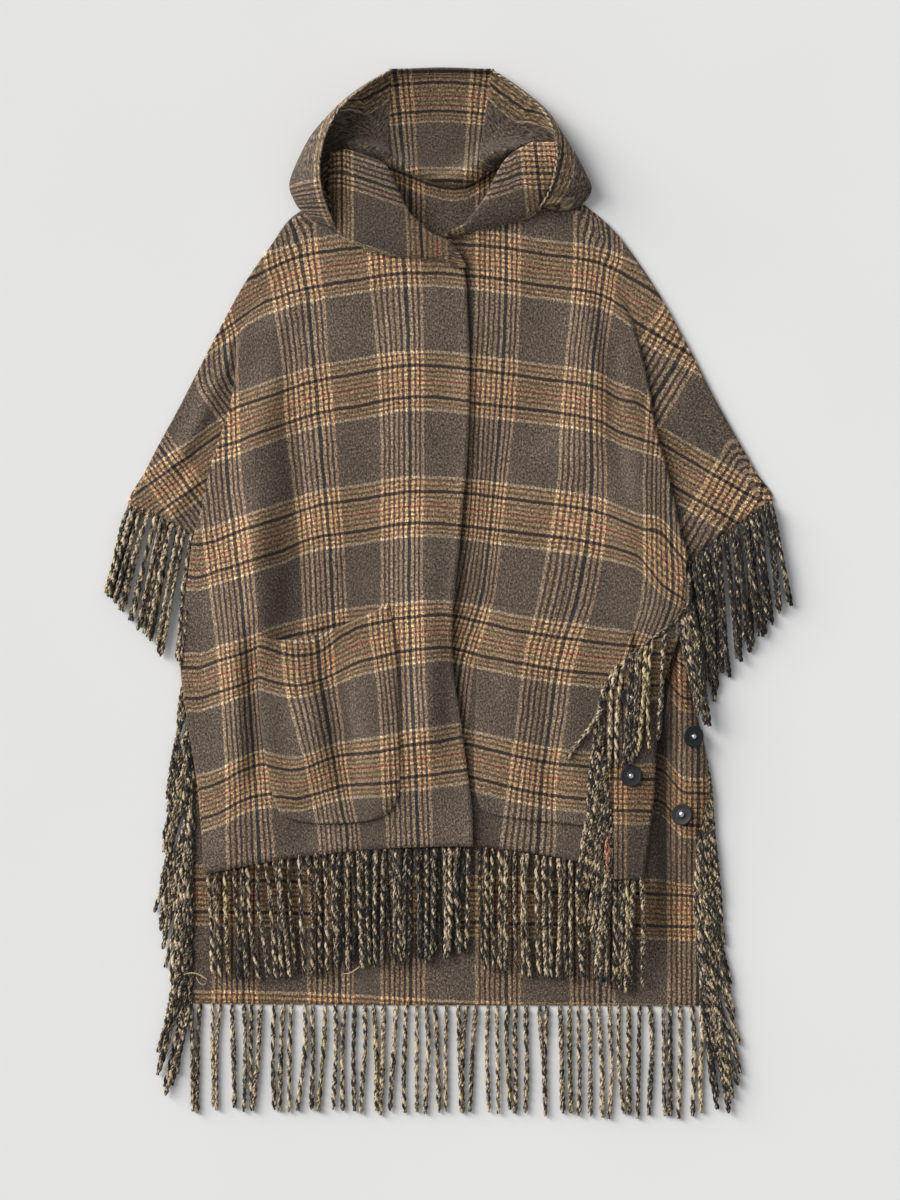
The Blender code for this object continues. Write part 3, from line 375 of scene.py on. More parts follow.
# The check along each wing's outer edge: squares across and down, then warp and weft of the check there.
Outer = namedtuple("Outer", "x y warp weft")
OUTER_LEFT = [
    Outer(290, 220, 127, -36), Outer(270, 247, 102, -17), Outer(250, 278, 78, 0), Outer(226, 317, 38, 21),
    Outer(209, 350, 12, 42), Outer(194, 379, -10, 60), Outer(178, 410, -31, 78), Outer(161, 441, -55, 97),
    Outer(147, 468, -82, 113), Outer(138, 487, -95, 124), Outer(131, 500, -108, 132), Outer(128, 506, -112, 136)]
OUTER_RIGHT = [
    Outer(603, 220, 408, -40), Outer(620, 238, 424, -28), Outer(641, 268, 447, -10), Outer(664, 303, 476, 4),
    Outer(680, 332, 498, 23), Outer(696, 362, 520, 37), Outer(712, 394, 542, 56), Outer(729, 425, 565, 75),
    Outer(745, 453, 586, 91.5), Outer(759, 478, 604, 106), Outer(770, 495, 617, 115.7), Outer(773, 499, 621, 118)]

# ---------------------------------------------------------------- helpers

def place(across, down, height):
    """Points of the sheet in metres, heights in metres too."""
    return np.stack(np.broadcast_arrays((np.asarray(across, float) - SHEET_CENTRE[0]) * SQUARE,
                                        (SHEET_CENTRE[1] - np.asarray(down, float)) * SQUARE, height), -1)


def through(values, t):
    """Smooth curve through evenly spaced values, read at t in rows."""
    v = np.asarray(values, float)
    t = np.asarray(t, float)
    i = np.clip(np.floor(t).astype(int), 0, len(v) - 2)
    f = (t - i).reshape(t.shape + (1,) * (v.ndim - 1))
    a, b, c, d = v[np.maximum(i - 1, 0)], v[i], v[i + 1], v[np.minimum(i + 2, len(v) - 1)]
    return b + 0.5 * f * (c - a + f * (2 * a - 5 * b + 4 * c - d + f * (3 * (b - c) + d - a)))


def finer(rows, times):
    t = np.linspace(0, len(rows) - 1, (len(rows) - 1) * times + 1)
    return [type(rows[0])(*row) for row in through([list(r) for r in rows], t)]


def ease(t):
    t = np.clip(t, 0.0, 1.0)
    return t * t * (3 - 2 * t)


def read(pairs, at):
    return np.interp(at, [p[0] for p in pairs], [p[1] for p in pairs])


def ripple(x, y):
    """Slight unevenness of brushed wool that lies loosely, about 0 to 1 mm."""
    total = 0.0
    for k, (length, turn, shift) in enumerate([(118, 0.4, 0.3), (83, 1.9, 1.7), (61, 2.6, 4.0), (47, 1.1, 2.2), (37, 0.1, 5.1), (29, 2.2, 0.9)]):
        bend = 0.35 * np.sin((x * math.sin(turn) + y * math.cos(turn)) / (length * 0.7) + k)
        total = total + (0.30 - 0.03 * k) * np.sin((x * math.cos(turn) + y * math.sin(turn)) * 2 * math.pi / length + shift + bend)
    return 0.001 * 0.55 * total


def creases(table, x, y):
    total = 0.0
    for r in table:
        along = np.array([r.x1 - r.x0, r.y1 - r.y0], float)
        length = np.linalg.norm(along)
        along /= length
        s = (x - r.x0) * along[0] + (y - r.y0) * along[1]
        sway = 2.5 * np.sin(s / 21.0 + r.x0)
        off = np.abs((x - r.x0) * along[1] - (y - r.y0) * along[0] + sway)
        ends = ease((s + 0.25 * length) / (0.5 * length)) * ease((1.25 * length - s) / (0.5 * length))
        total = total + r.height * np.exp(-((off / r.half) ** 2)) * ends
    return 0.001 * total


def ridges_at(x, y):
    """The standing folds of the part's own solids."""
    total = 0.0
    for r in RIDGES:
        along = np.array([r.x1 - r.x0, r.y1 - r.y0], float)
        length = np.linalg.norm(along)
        along /= length
        s = (x - r.x0) * along[0] + (y - r.y0) * along[1]
        off = np.abs((x - r.x0) * along[1] - (y - r.y0) * along[0])
        ends = ease((s + 0.35 * length) / (0.7 * length)) * ease((1.35 * length - s) / (0.7 * length))
        total = total + r.height * np.exp(-((off / r.half) ** 2)) * ends
    return 0.001 * total


class Front:
    """The body of one front as a surface: its height anywhere on the sheet."""

    def __init__(self, rows, side, over, table):
        self.rows, self.side, self.over, self.table = rows, side, over, table
        self.folds = [(r.fold_y, r.fold_x) for r in rows]
        self.lifts = [(r.fold_y, r.lift) for r in rows]

    def height(self, x, y):
        x, y = np.asarray(x, float), np.asarray(y, float)
        fold, lift = read(self.folds, y), read(self.lifts, y)
        inside = self.side * (fold - x)
        near = ease(1 - inside / 115.0)
        soft = ease(inside / 40.0)
        relief = np.maximum(0.5 * ridges_at(x, y) + creases(self.table, x, y) + 0.0030, 0.0003)
        z = FRONT + BEND * lift * near + relief * soft + (ripple(x, y) + 0.0003) * ease(inside / 14.0)
        if self.over:
            z = z + 0.0029 * ease((x - 378.0) / 36.0)
        return np.maximum(z, FRONT)


LEFT = Front(LEFT_FRONT, -1, True, CREASES_LEFT)
RIGHT = Front(RIGHT_FRONT, 1, False, CREASES_RIGHT)


def check_at(cross, length, edges, x, y):
    """Warp and weft of the check at places of the sheet."""
    x, y = np.asarray(x, float), np.asarray(y, float)
    start, step, rows = cross
    t = np.clip((x - start) / step, 0, len(rows[0].down) - 1)
    downs = through(np.array([r.down for r in rows]).T, t)
    ats = np.array([r.at for r in rows])
    k = np.clip((y[..., None] > downs).sum(-1) - 1, 0, len(ats) - 2)
    a = np.take_along_axis(downs, k[..., None], -1)[..., 0]
    b = np.take_along_axis(downs, k[..., None] + 1, -1)[..., 0]
    f = (y - a) / (b - a)
    f = np.where(f < 0, (y - a) / 33.5, np.where(f > 1, 1 + (y - b) / 31.0, f))
    gap = (ats[k + 1] - ats[k])
    outside = (f < 0) | (f > 1)
    weft = ats[k] + np.where(outside, np.where(f < 0, (y - a), gap + (y - b)), f * gap)
    start, step, rows = length
    t = np.clip((y - start) / step, 0, len(rows) - 1)
    across = through(np.array([r.across for r in rows]), t)
    marks = np.array(edges, float)
    k = np.clip((x[..., None] > across).sum(-1) - 1, 0, len(marks) - 2)
    a = np.take_along_axis(across, k[..., None], -1)[..., 0]
    b = np.take_along_axis(across, k[..., None] + 1, -1)[..., 0]
    f = (x - a) / (b - a)
    gap = marks[k + 1] - marks[k]
    outside = (f < 0) | (f > 1)
    warp = marks[k] + np.where(outside, np.where(f < 0, (x - a), gap + (x - b)), f * gap)
    return warp, weft


def new_object(name, mesh, surface):
    made = bpy.data.objects.new(name, mesh)
    mesh.materials.append(surface)
    bpy.context.scene.collection.objects.link(made)
    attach(made, "root")
    return made


def set_uv(mesh, per_point):
    loops = np.empty(len(mesh.loops), int)
    mesh.loops.foreach_get("vertex_index", loops)
    layer = mesh.uv_layers.new(name="UVMap")
    layer.data.foreach_set("uv", np.ascontiguousarray(per_point[loops], float).ravel())


def shell(name, grid, check, surface, thick=SHELL, keep=None, flat_under=None, tone=1.0):
    """A thin shell about a grid of points, closed round a soft rim. check holds warp and weft at each point."""
    p = np.asarray(grid, float)
    rows, cols = p.shape[:2]
    keep = np.ones((rows - 1, cols - 1), bool) if keep is None else keep
    flat = p.reshape(-1, 3)
    index = np.arange(rows * cols).reshape(rows, cols)
    i, j = np.nonzero(keep)
    quads = np.stack([index[i, j], index[i + 1, j], index[i + 1, j + 1], index[i, j + 1]], 1)
    normal = np.zeros_like(flat)
    for a, b, c in ((0, 1, 3), (1, 2, 0), (2, 3, 1), (3, 0, 2)):
        n = np.cross(flat[quads[:, b]] - flat[quads[:, a]], flat[quads[:, c]] - flat[quads[:, a]])
        n /= np.linalg.norm(n, axis=1)[:, None] + 1e-12
        np.add.at(normal, quads[:, a], n)
    normal /= np.linalg.norm(normal, axis=1)[:, None] + 1e-12
    ends = quads[:, [0, 1, 1, 2, 2, 3, 3, 0]].reshape(-1, 2)
    code = ends[:, 0].astype(np.int64) * len(flat) + ends[:, 1]
    back = ends[:, 1].astype(np.int64) * len(flat) + ends[:, 0]
    rim = ends[~np.isin(code, back)]
    half = np.full(len(flat), thick / 2)
    on_rim = np.zeros(len(flat), bool)
    on_rim[rim.ravel()] = True
    next_to = np.zeros(len(flat), bool)
    next_to[quads[on_rim[quads].any(1)].ravel()] = True
    half[next_to] = thick * 0.46
    half[on_rim] = thick * 0.27
    used = np.unique(quads)
    renumber = np.full(len(flat), -1)
    renumber[used] = np.arange(len(used))
    top = flat[used] + normal[used] * half[used][:, None]
    low = flat[used] - normal[used] * half[used][:, None]
    if np.mean(normal[used][:, 2]) < 0:
        top, low = low, top
        quads = quads[:, ::-1]
        rim = rim[:, ::-1]
    points = np.vstack([top, low])
    if flat_under is not None:
        points[:, 2] = np.maximum(points[:, 2], flat_under)
    count = len(used)
    q = renumber[quads]
    r = renumber[rim]
    faces = np.vstack([q, q[:, ::-1] + count, np.stack([r[:, 1], r[:, 0], r[:, 0] + count, r[:, 1] + count], 1)])
    mesh = bpy.data.meshes.new(name)
    mesh.from_pydata(points.tolist(), [], faces.tolist())
    mesh.shade_smooth()
    uv = np.asarray(check, float).reshape(-1, 2)[used]
    set_uv(mesh, np.vstack([uv, uv]) * 0.01)
    # tone multiplies the cloth's colour: painted shade in troughs, valleys and hollows, with a little painted light on
    # crease ridges
    tone = np.broadcast_to(np.asarray(tone, float), (rows, cols)).reshape(-1)[used]
    mesh.attributes.new("tone", "FLOAT", "POINT").data.foreach_set("value", np.concatenate([tone, tone]))
    made = new_object(name, mesh, surface)
    a, b, c, d = (flat[quads[:, k]] for k in range(4))
    return made


# ---------------------------------------------------------------- materials

def srgb(*c):
    """Linear colour from a display colour of 0 to 255."""
    return tuple((v / 255 / 12.92) if v <= 10.3 else ((v / 255 + 0.055) / 1.055) ** 2.4 for v in c)


# The check's yarns, in display colours.
GREY = (98, 85, 74)
TAN, OLIVE, CREAM, BROWN = (209, 165, 109), (116, 88, 56), (228, 200, 152), (110, 78, 54)
DARK, RED = (22, 19, 24), (142, 44, 36)
LIGHT, UMBER, PLUM, NAVY, TEAL, PEACH, STRAW = (216, 187, 148), (62, 42, 36), (50, 30, 42), (28, 24, 33), (46, 46, 52), (216, 170, 128), (204, 181, 130)
FAWN = (182, 154, 118)

# Bands of the check across the cloth, each from its start in squares after the first dark line.
Band = namedtuple("Band", "start yarn")
WEFT_BANDS = [
    Band(-35, GREY), Band(-14, CREAM), Band(-11, BROWN), Band(-8.6, TAN), Band(-6, OLIVE), Band(-3.2, TAN),
    Band(-0.6, DARK), Band(3.1, TAN), Band(5.8, BROWN), Band(8.2, TAN), Band(10.6, OLIVE), Band(12.8, TAN), Band(15.2, RED),
    Band(17.4, TAN), Band(20.2, OLIVE), Band(22.4, TAN), Band(25.0, BROWN), Band(27.6, TAN), Band(31.2, DARK), Band(34.9, TAN),
    Band(37.4, BROWN), Band(39.6, TAN), Band(41.8, OLIVE), Band(44, CREAM), Band(47, GREY)]
WARP_BANDS = [
    Band(-24, GREY), Band(0, LIGHT), Band(3.2, UMBER), Band(5.6, FAWN), Band(8.4, UMBER), Band(10.9, LIGHT), Band(13.6, PLUM),
    Band(16.0, FAWN), Band(18.8, UMBER), Band(21.2, FAWN), Band(23.9, PLUM), Band(26.6, STRAW), Band(29.8, NAVY), Band(33.2, LIGHT),
    Band(36.2, UMBER), Band(38.4, PEACH), Band(41.2, TEAL), Band(43.4, PEACH), Band(46.5, GREY)]


class Nodes:
    """Short calls for building a material's node tree."""

    def __init__(self, name):
        self.material = bpy.data.materials.new(name)
        self.material.use_nodes = True
        self.tree = self.material.node_tree
        self.shader = self.tree.nodes["Principled BSDF"]

    def put(self, socket, value):
        if isinstance(value, bpy.types.NodeSocket):
            self.tree.links.new(value, socket)
        else:
            socket.default_value = value

    def math(self, kind, *values, clamp=False):
        node = self.tree.nodes.new("ShaderNodeMath")
        node.operation = kind
        node.use_clamp = clamp
        for socket, value in zip(node.inputs, values):
            self.put(socket, value)
        return node.outputs[0]

    def noise(self, vector, scale, detail=2.0, rough=0.6, flat=True, distortion=0.0):
        node = self.tree.nodes.new("ShaderNodeTexNoise")
        node.noise_dimensions = "2D" if flat else "3D"
        self.put(node.inputs["Vector"], vector)
        node.inputs["Scale"].default_value = scale
        node.inputs["Detail"].default_value = detail
        node.inputs["Roughness"].default_value = rough
        node.inputs["Distortion"].default_value = distortion
        return node.outputs[0]

    def ramp(self, factor, stops, kind="CONSTANT"):
        node = self.tree.nodes.new("ShaderNodeValToRGB")
        node.color_ramp.interpolation = kind
        e = node.color_ramp.elements
        while len(e) < len(stops):
            e.new(0.5)
        for element, (position, colour) in zip(e, sorted(stops, key=lambda s: s[0])):
            element.position = position
        for element, (position, colour) in zip(e, sorted(stops, key=lambda s: s[0])):
            element.color = (*colour, 1) if len(colour) == 3 else colour
        self.put(node.inputs[0], factor)
        return node.outputs[0]

    def mix(self, kind, factor, a, b):
        node = self.tree.nodes.new("ShaderNodeMix")
        node.data_type = "RGBA"
        node.blend_type = kind
        self.put(node.inputs[0], factor)
        self.put(node.inputs[6], a)
        self.put(node.inputs[7], b)
        return node.outputs[2]

    def gamma(self, colour, power):
        node = self.tree.nodes.new("ShaderNodeGamma")
        self.put(node.inputs[0], colour)
        node.inputs[1].default_value = power
        return node.outputs[0]

    def split(self, vector):
        node = self.tree.nodes.new("ShaderNodeSeparateXYZ")
        self.put(node.inputs[0], vector)
        return node.outputs

    def join(self, x, y, z=0.0):
        node = self.tree.nodes.new("ShaderNodeCombineXYZ")
        for socket, value in zip(node.inputs, (x, y, z)):
            self.put(socket, value)
        return node.outputs[0]

    def uv(self):
        node = self.tree.nodes.new("ShaderNodeUVMap")
        node.uv_map = "UVMap"
        return node.outputs[0]

    def bump(self, height, strength, distance):
        node = self.tree.nodes.new("ShaderNodeBump")
        node.inputs["Strength"].default_value = strength
        node.inputs["Distance"].default_value = distance
        self.put(node.inputs["Height"], height)
        self.tree.links.new(node.outputs[0], self.shader.inputs["Normal"])


def warmed(colour, amount):
    return tuple(max(0, min(255, c * k)) for c, k in zip(colour, (1 + 0.10 * amount, 1 - 0.03 * amount, 1 - 0.22 * amount)))


def wool(name, warm=0.0, bright=1.0, grey_bright=1.0, level=0.85):
    """Brushed double-faced wool with a woven check, from the cloth's own flat coordinates."""
    n = Nodes(name)
    uv = n.uv()
    u, v, _ = n.split(uv)
    wob_a = n.math("SUBTRACT", n.noise(uv, 95.0, 1.0), 0.5)
    wob_b = n.math("SUBTRACT", n.noise(n.join(n.math("ADD", u, 7.3), v), 95.0, 1.0), 0.5)
    slow = n.math("SUBTRACT", n.noise(uv, 6.0, 1.0), 0.5)
    wide = n.math("ADD", n.math("MULTIPLY", wob_a, 0.020), n.math("MULTIPLY", slow, 0.016))
    deep = n.math("ADD", n.math("MULTIPLY", wob_b, 0.020), n.math("MULTIPLY", slow, -0.014))
    warp_at = n.math("FRACT", n.math("DIVIDE", n.math("ADD", n.math("ADD", u, wide), 0.24), WARP_REPEAT / 100))
    weft_at = n.math("FRACT", n.math("DIVIDE", n.math("ADD", n.math("ADD", v, deep), 0.35), WEFT_REPEAT / 100))

    def shade(yarn):
        c = srgb(*(warmed(yarn, warm) if yarn is not GREY else yarn))
        k = grey_bright if yarn is GREY else bright
        return tuple(x * k for x in c)

    warp = n.ramp(warp_at, [(0.0 if b.start == -24 else (b.start + 24) / WARP_REPEAT, shade(b.yarn)) for b in WARP_BANDS])
    weft = n.ramp(weft_at, [(0.0 if b.start == -35 else (b.start + 35) / WEFT_REPEAT, shade(b.yarn)) for b in WEFT_BANDS])
    woven = n.gamma(n.mix("MULTIPLY", 1.0, warp, weft), 0.5)
    # flecks of the twill's face: now one yarn on top, now the other
    twill = n.noise(n.join(n.math("MULTIPLY", n.math("ADD", u, v), 0.45), n.math("SUBTRACT", u, v)), 60.0, 2.0, 0.7)
    over = n.ramp(twill, [(0.36, (0, 0, 0)), (0.64, (1, 1, 1))], "LINEAR")
    faces = n.mix("MIX", n.math("MULTIPLY", over, 0.30), woven, n.mix("MIX", 0.5, warp, weft))
    # heather: dark and light fibres
    fine = n.noise(n.join(n.math("MULTIPLY", u, 1.25), n.math("MULTIPLY", v, 0.85)), 54.0, 2.5, 0.85, distortion=0.5)
    heather = n.ramp(fine, [(0.30, (0.15, 0.145, 0.15)), (0.43, (0.50, 0.49, 0.49)), (0.515, (1, 0.99, 0.98)), (0.70, (2.85, 2.77, 2.66))], "LINEAR")
    colour = n.mix("MULTIPLY", 1.0, faces, heather)
    # painted shade: each piece's tone attribute darkens the colour in creases, valleys, under folds and inside the hood
    tone = n.tree.nodes.new("ShaderNodeAttribute")
    tone.attribute_name = "tone"
    colour = n.mix("MULTIPLY", 1.0, colour, tone.outputs["Fac"])
    calm = n.tree.nodes.new("ShaderNodeHueSaturation")
    calm.inputs["Saturation"].default_value = 0.93
    calm.inputs["Value"].default_value = level
    n.put(calm.inputs["Color"], colour)
    colour = calm.outputs[0]
    cloudy = n.ramp(n.noise(uv, 1.7, 2.0), [(0.3, (0.90, 0.90, 0.90)), (0.7, (1.10, 1.10, 1.10))], "LINEAR")
    colour = n.mix("MULTIPLY", 1.0, colour, cloudy)
    n.put(n.shader.inputs["Base Color"], colour)
    n.put(n.shader.inputs["Roughness"], n.math("ADD", n.math("MULTIPLY", fine, 0.16), 0.80))
    n.shader.inputs["Specular IOR Level"].default_value = 0.18
    n.shader.inputs["Sheen Weight"].default_value = 0.16
    n.shader.inputs["Sheen Roughness"].default_value = 0.55
    n.shader.inputs["Sheen Tint"].default_value = (1.0, 0.95, 0.88, 1)
    fuzz = n.noise(n.join(n.math("MULTIPLY", u, 1.0), n.math("MULTIPLY", v, 0.6)), 85.0, 4.0, 0.8)
    n.bump(n.math("ADD", fuzz, n.math("MULTIPLY", twill, 0.4)), 0.55, 0.0009)
    return n.material


def yarn_material(name):
    """Twisted two-ply wool of the fringe: charcoal and beige fibres in streaks along each ply."""
    n = Nodes(name)
    uv = n.uv()
    u, v, _ = n.split(uv)
    tone = n.tree.nodes.new("ShaderNodeAttribute")
    tone.attribute_type = "GEOMETRY"
    tone.attribute_name = "tone"
    t = n.split(tone.outputs["Color"])
    streak = n.noise(n.join(n.math("MULTIPLY", u, 0.42), n.math("MULTIPLY", v, 1.7)), 25.0, 2.0, 0.6)
    fleck = n.noise(n.join(u, n.math("MULTIPLY", v, 1.4)), 46.0, 2.0, 0.7)
    mixed = n.math("ADD", n.math("MULTIPLY", streak, 1.35), n.math("MULTIPLY", fleck, 0.60))
    patch = n.math("MULTIPLY", n.math("SUBTRACT", n.noise(uv, 4.5, 1.0), 0.5), 0.5)
    # the tone attribute's first part shifts a strand lighter or darker: partly the yarn's own mix, partly painted shade
    # on runs that lie under others or away from the light
    level = n.math("ADD", n.math("ADD", patch, n.math("SUBTRACT", mixed, 0.425)), n.math("SUBTRACT", t[0], 0.5))
    colour = n.ramp(level, [
        (0.285, srgb(24, 22, 22)), (0.455, srgb(49, 45, 41)), (0.555, srgb(92, 80, 66)), (0.655, srgb(152, 133, 107)),
        (0.80, srgb(204, 184, 154))], "LINEAR")
    olive = n.mix("MULTIPLY", 1.0, colour, (1.08, 1.10, 0.55, 1))
    colour = n.mix("MIX", n.math("MULTIPLY", t[1], 0.75), colour, olive)
    russet = n.mix("MIX", 0.6, colour, (*srgb(176, 84, 40), 1))
    colour = n.mix("MIX", t[2], colour, russet)
    n.put(n.shader.inputs["Base Color"], colour)
    n.shader.inputs["Roughness"].default_value = 0.88
    n.shader.inputs["Specular IOR Level"].default_value = 0.2
    n.shader.inputs["Sheen Weight"].default_value = 0.2
    n.shader.inputs["Sheen Roughness"].default_value = 0.5
    ply = n.math("SINE", n.math("MULTIPLY", n.math("ADD", n.math("MULTIPLY", v, 6.0), n.math("MULTIPLY", u, 40.0)), 6.2832))
    n.bump(n.math("ADD", n.math("MULTIPLY", ply, 0.35), fleck), 0.6, 0.0005)
    return n.material


def plain(name, colour, roughness, metallic=0.0, speckle=0.12, scale=900.0):
    """A hard piece with slight wear in its gloss and tone."""
    n = Nodes(name)
    co = n.tree.nodes.new("ShaderNodeTexCoord").outputs["Object"]
    spots = n.noise(co, scale, 3.0, 0.6, flat=False)
    low, high = tuple(c * (1 - speckle) for c in colour), tuple(min(1, c * (1 + speckle)) for c in colour)
    n.put(n.shader.inputs["Base Color"], n.ramp(spots, [(0.3, low), (0.7, high)], "LINEAR"))
    n.put(n.shader.inputs["Roughness"], n.math("ADD", n.math("MULTIPLY", spots, 0.15), roughness - 0.07))
    n.shader.inputs["Metallic"].default_value = metallic
    n.bump(spots, 0.15, 0.0001)
    return n.material


WOOL_FACE = wool("wool_check")
WOOL_REVERSE = wool("wool_check_reverse", warm=0.3, level=0.78)
YARN = yarn_material("fringe_yarn")
SNAP_BLACK = plain("snap_cover", srgb(22, 23, 29), 0.6, 0.0, 0.25, 1400.0)
SNAP_METAL = plain("snap_metal", (0.82, 0.83, 0.84), 0.16, 1.0, 0.05)

# ---------------------------------------------------------------- the two fronts

def outer_check(table, y):
    return (np.interp(y, [r.y for r in table], [r.warp for r in table]), np.interp(y, [r.y for r in table], [r.weft for r in table]))


def wing_check(side, x, y):
    if side < 0:
        s = 0.58 * x + 0.815 * y
        return 0.815 * x - 0.58 * y + 65.8, np.interp(s, [340, 371.6, 401.4, 480.1, 510, 560], [-34, 0, 33, 125.5, 158.5, 212])
    # beyond the shoulder seam the check meets itself as in a mirror
    past = np.maximum((x - 722) * 0.894 - (y - 425) * 0.447, 0) * (y > 424)
    x, y = x - 2 * past * 0.894, y + 2 * past * 0.447
    s = -0.507 * x + 0.862 * y
    return 475 + (0.862 * x + 0.507 * y - 724) * 0.75, np.interp(s, [-120, -81.5, -44, 45.8, 77, 150], [-36, 0, 33, 125.5, 158.5, 232])


def beside(x, y, x0, y0, x1, y1, wide):
    """1 on the line from one point to the other, and less with the distance from it."""
    t = np.clip(((x - x0) * (x1 - x0) + (y - y0) * (y1 - y0)) / ((x1 - x0) ** 2 + (y1 - y0) ** 2), 0, 1)
    return np.exp(-((x - x0 - t * (x1 - x0)) ** 2 + (y - y0 - t * (y1 - y0)) ** 2) / wide ** 2)


def front_grid(front, turned_under, cross, length, edges, outer):
    times = 5
    side, rows = front.side, finer(front.rows, times)
    body, arc, wing = 66, 7, 26
    cols = body + arc + 1 + arc + wing
    underarm = UNDERARM * times
    grid = np.zeros((len(rows), cols, 3))
    sheet = np.zeros((len(rows), cols, 2))
    check = np.zeros((len(rows), cols, 2))
    tone = np.ones((len(rows), cols))
    for i, r in enumerate(rows):
        below = i > underarm
        straight = below and not turned_under
        z_top = float(front.height(r.fold_x - side * 2, r.fold_y))
        lift = max(z_top - FRONT, 0.0)
        turn = math.pi if below else math.acos(np.clip(1 - lift / BEND / 2, -1, 1))
        loose = 2.2 * max(0.0, 1 - turn / (math.pi / 2)) * 4 / arc
        reach = BEND / SQUARE * math.sin(min(turn, math.pi / 2))
        start = r.fold_x - side * reach
        if straight:
            start = r.fold_x - side * (TURN_BEND + TURN_CLEAR) / SQUARE
        t = np.linspace(0, 1, body)
        x = r.centre_x + (start - r.centre_x) * t
        y = r.centre_y + (r.fold_y - r.centre_y) * t ** 2.2
        z = front.height(x, y)
        if not straight:
            z[-1] = FRONT + lift
        if not turned_under:
            z = FRONT + (z - FRONT) * (1 - 0.85 * ease((474 - x) / 14.0))
        if turned_under:
            z = z + (0.0024 * np.exp(-((x - r.centre_x) / 5.0) ** 2) + 0.0012 * ease((18 - np.abs(x - r.centre_x)) / 14.0)) * ease((r.centre_y - 262) / 14.0)
        grid[i, :body] = place(x, y, z)
        sheet[i, :body] = np.stack([x, y], 1)
        slope = 0.0 if below else (r.outer_y - r.fold_y) / (r.outer_x - r.fold_x)
        outs, heights = [], []
        z, out = FRONT + lift, 0.0
        for k in range(1, arc + 1):
            a = turn * k / arc
            outs.append(out + BEND / SQUARE * math.sin(a) + loose * k)
            heights.append(z + BEND * (math.cos(a) - 1))
        out, z = out + BEND / SQUARE * math.sin(turn) + loose * arc, z + BEND * (math.cos(turn) - 1)
        out = out + (r.depth + 0.8) * math.cos(turn) + loose
        outs.append(out)
        heights.append(z)
        for k in range(1, arc + 1):
            a = turn * (1 - k / arc)
            outs.append(out + BEND / SQUARE * (math.sin(turn) - math.sin(a)) + loose * k)
            heights.append(z + BEND * (math.cos(turn) - math.cos(a)))
        fx = start + side * np.array(outs)
        fy = r.fold_y + slope * (fx - r.fold_x)
        lower = fx[-1]
        t = np.arange(1, wing + 1) / wing
        wx = lower + (r.outer_x - lower) * t
        wy = r.fold_y + slope * (wx - r.fold_x) + r.bow * 4 * t * (1 - t)
        inner = ease(t * 5) * ease((1 - t) * 8)
        wz = FRONT + (np.maximum(creases(CREASES_WING, wx, wy), -0.0003) + np.maximum(ripple(wx, wy) + 0.0003, 0)) * inner
        x, y = np.concatenate([fx, wx]), np.concatenate([fy, wy])
        grid[i, body:] = place(x, y, np.concatenate([heights, wz]))
        sheet[i, body:] = np.stack([x, y], 1)
        # the check: as drawn over the body, then smoothly to that of the wing
        warp, weft = check_at(cross, length, edges, sheet[i, :body, 0], sheet[i, :body, 1])
        check[i, :body] = np.stack([warp, weft], 1)
        edge = np.array([np.interp(r.outer_y, [o.y for o in outer], [getattr(o, k) for o in outer]) for k in ("warp", "weft")])
        last = check[i, body - 1]
        run = np.linspace(0, 1, arc * 2 + 1 + wing + 1)[1:]
        straight_on = last + (edge - last) * run[:, None]
        wu, wv = wing_check(side, wx, wy)
        turned = np.zeros((len(run), 2))
        turned[arc * 2 + 1:] = np.stack([wu, wv], 1)
        for k in range(arc + 1):
            turned[k] = last + np.array([side * 1.0, 0.2]) * (abs(outs[k]) if k < arc else abs(outs[arc]) + 6)
        first = turned[arc * 2 + 1]
        for k in range(arc):
            f = (k + 1) / (arc + 1)
            turned[arc + 1 + k] = first + np.array([-side, 0.0]) * (1 - f) * 6
        full = ease((lift / BEND - 0.5) / 2.2)
        check[i, body:] = straight_on * (1 - full) + turned * full
        # painted shade and light: the cloth is darker in the creases' troughs and a little lighter on their ridges
        tone[i, :body] = np.clip(1 + 26 * np.minimum(creases(front.table, sheet[i, :body, 0], sheet[i, :body, 1]), 0.002), 0.74, 1.06)
        # painted shadow on the wing next to its fold, deeper on the right wing
        tone[i, body:] = 1 - (0.34 if side > 0 else 0.16) * np.exp(-np.abs(sheet[i, body:, 0] - start) / 16.0) * ease(lift / 0.004)
    keep = np.ones((len(rows) - 1, cols - 1), bool)
    last = body - 1 + (arc + 1 if turned_under else 0)
    keep[underarm:, last:] = False
    if side < 0:
        # painted shade: a dark crescent behind the pocket's mouth, down the folds beside it, and a band right of the
        # pocket near the centre edge
        x, y = sheet[..., 0], sheet[..., 1]
        above = np.interp(x, [259, 283, 307, 330, 350, 389], [632, 637, 640, 634, 621, 604]) - y
        tone *= 1 - 0.50 * np.exp(-np.maximum(above, 0) / 4.0) * ease((x - 262) / 16.0) * ease((356 - x) / 30.0) * ease((above + 16) / 6.0)
        tone *= 1 - 0.20 * beside(x, y, 301, 556, 268, 618, 9) - 0.12 * beside(x, y, 250, 650, 252, 780, 9)
        tone *= 1 - 0.14 * beside(x, y, 434, 640, 450, 742, 14)
    if side > 0:
        # painted shade: the whole right front a little darker, with a painted shadow of the lap along the left front's
        # edge, fading over a wider band
        lap = np.interp(sheet[..., 1], [268, 365, 559, 647, 739, 838], [464, 470, 460, 452, 463, 474])
        off = sheet[..., 0] - lap
        tone *= 0.955 * (1 - 0.36 * np.exp(-np.maximum(off, 0) / 4.5) - 0.10 * np.exp(-np.maximum(off, 0) / 22.0))
    return grid, keep, check, tone


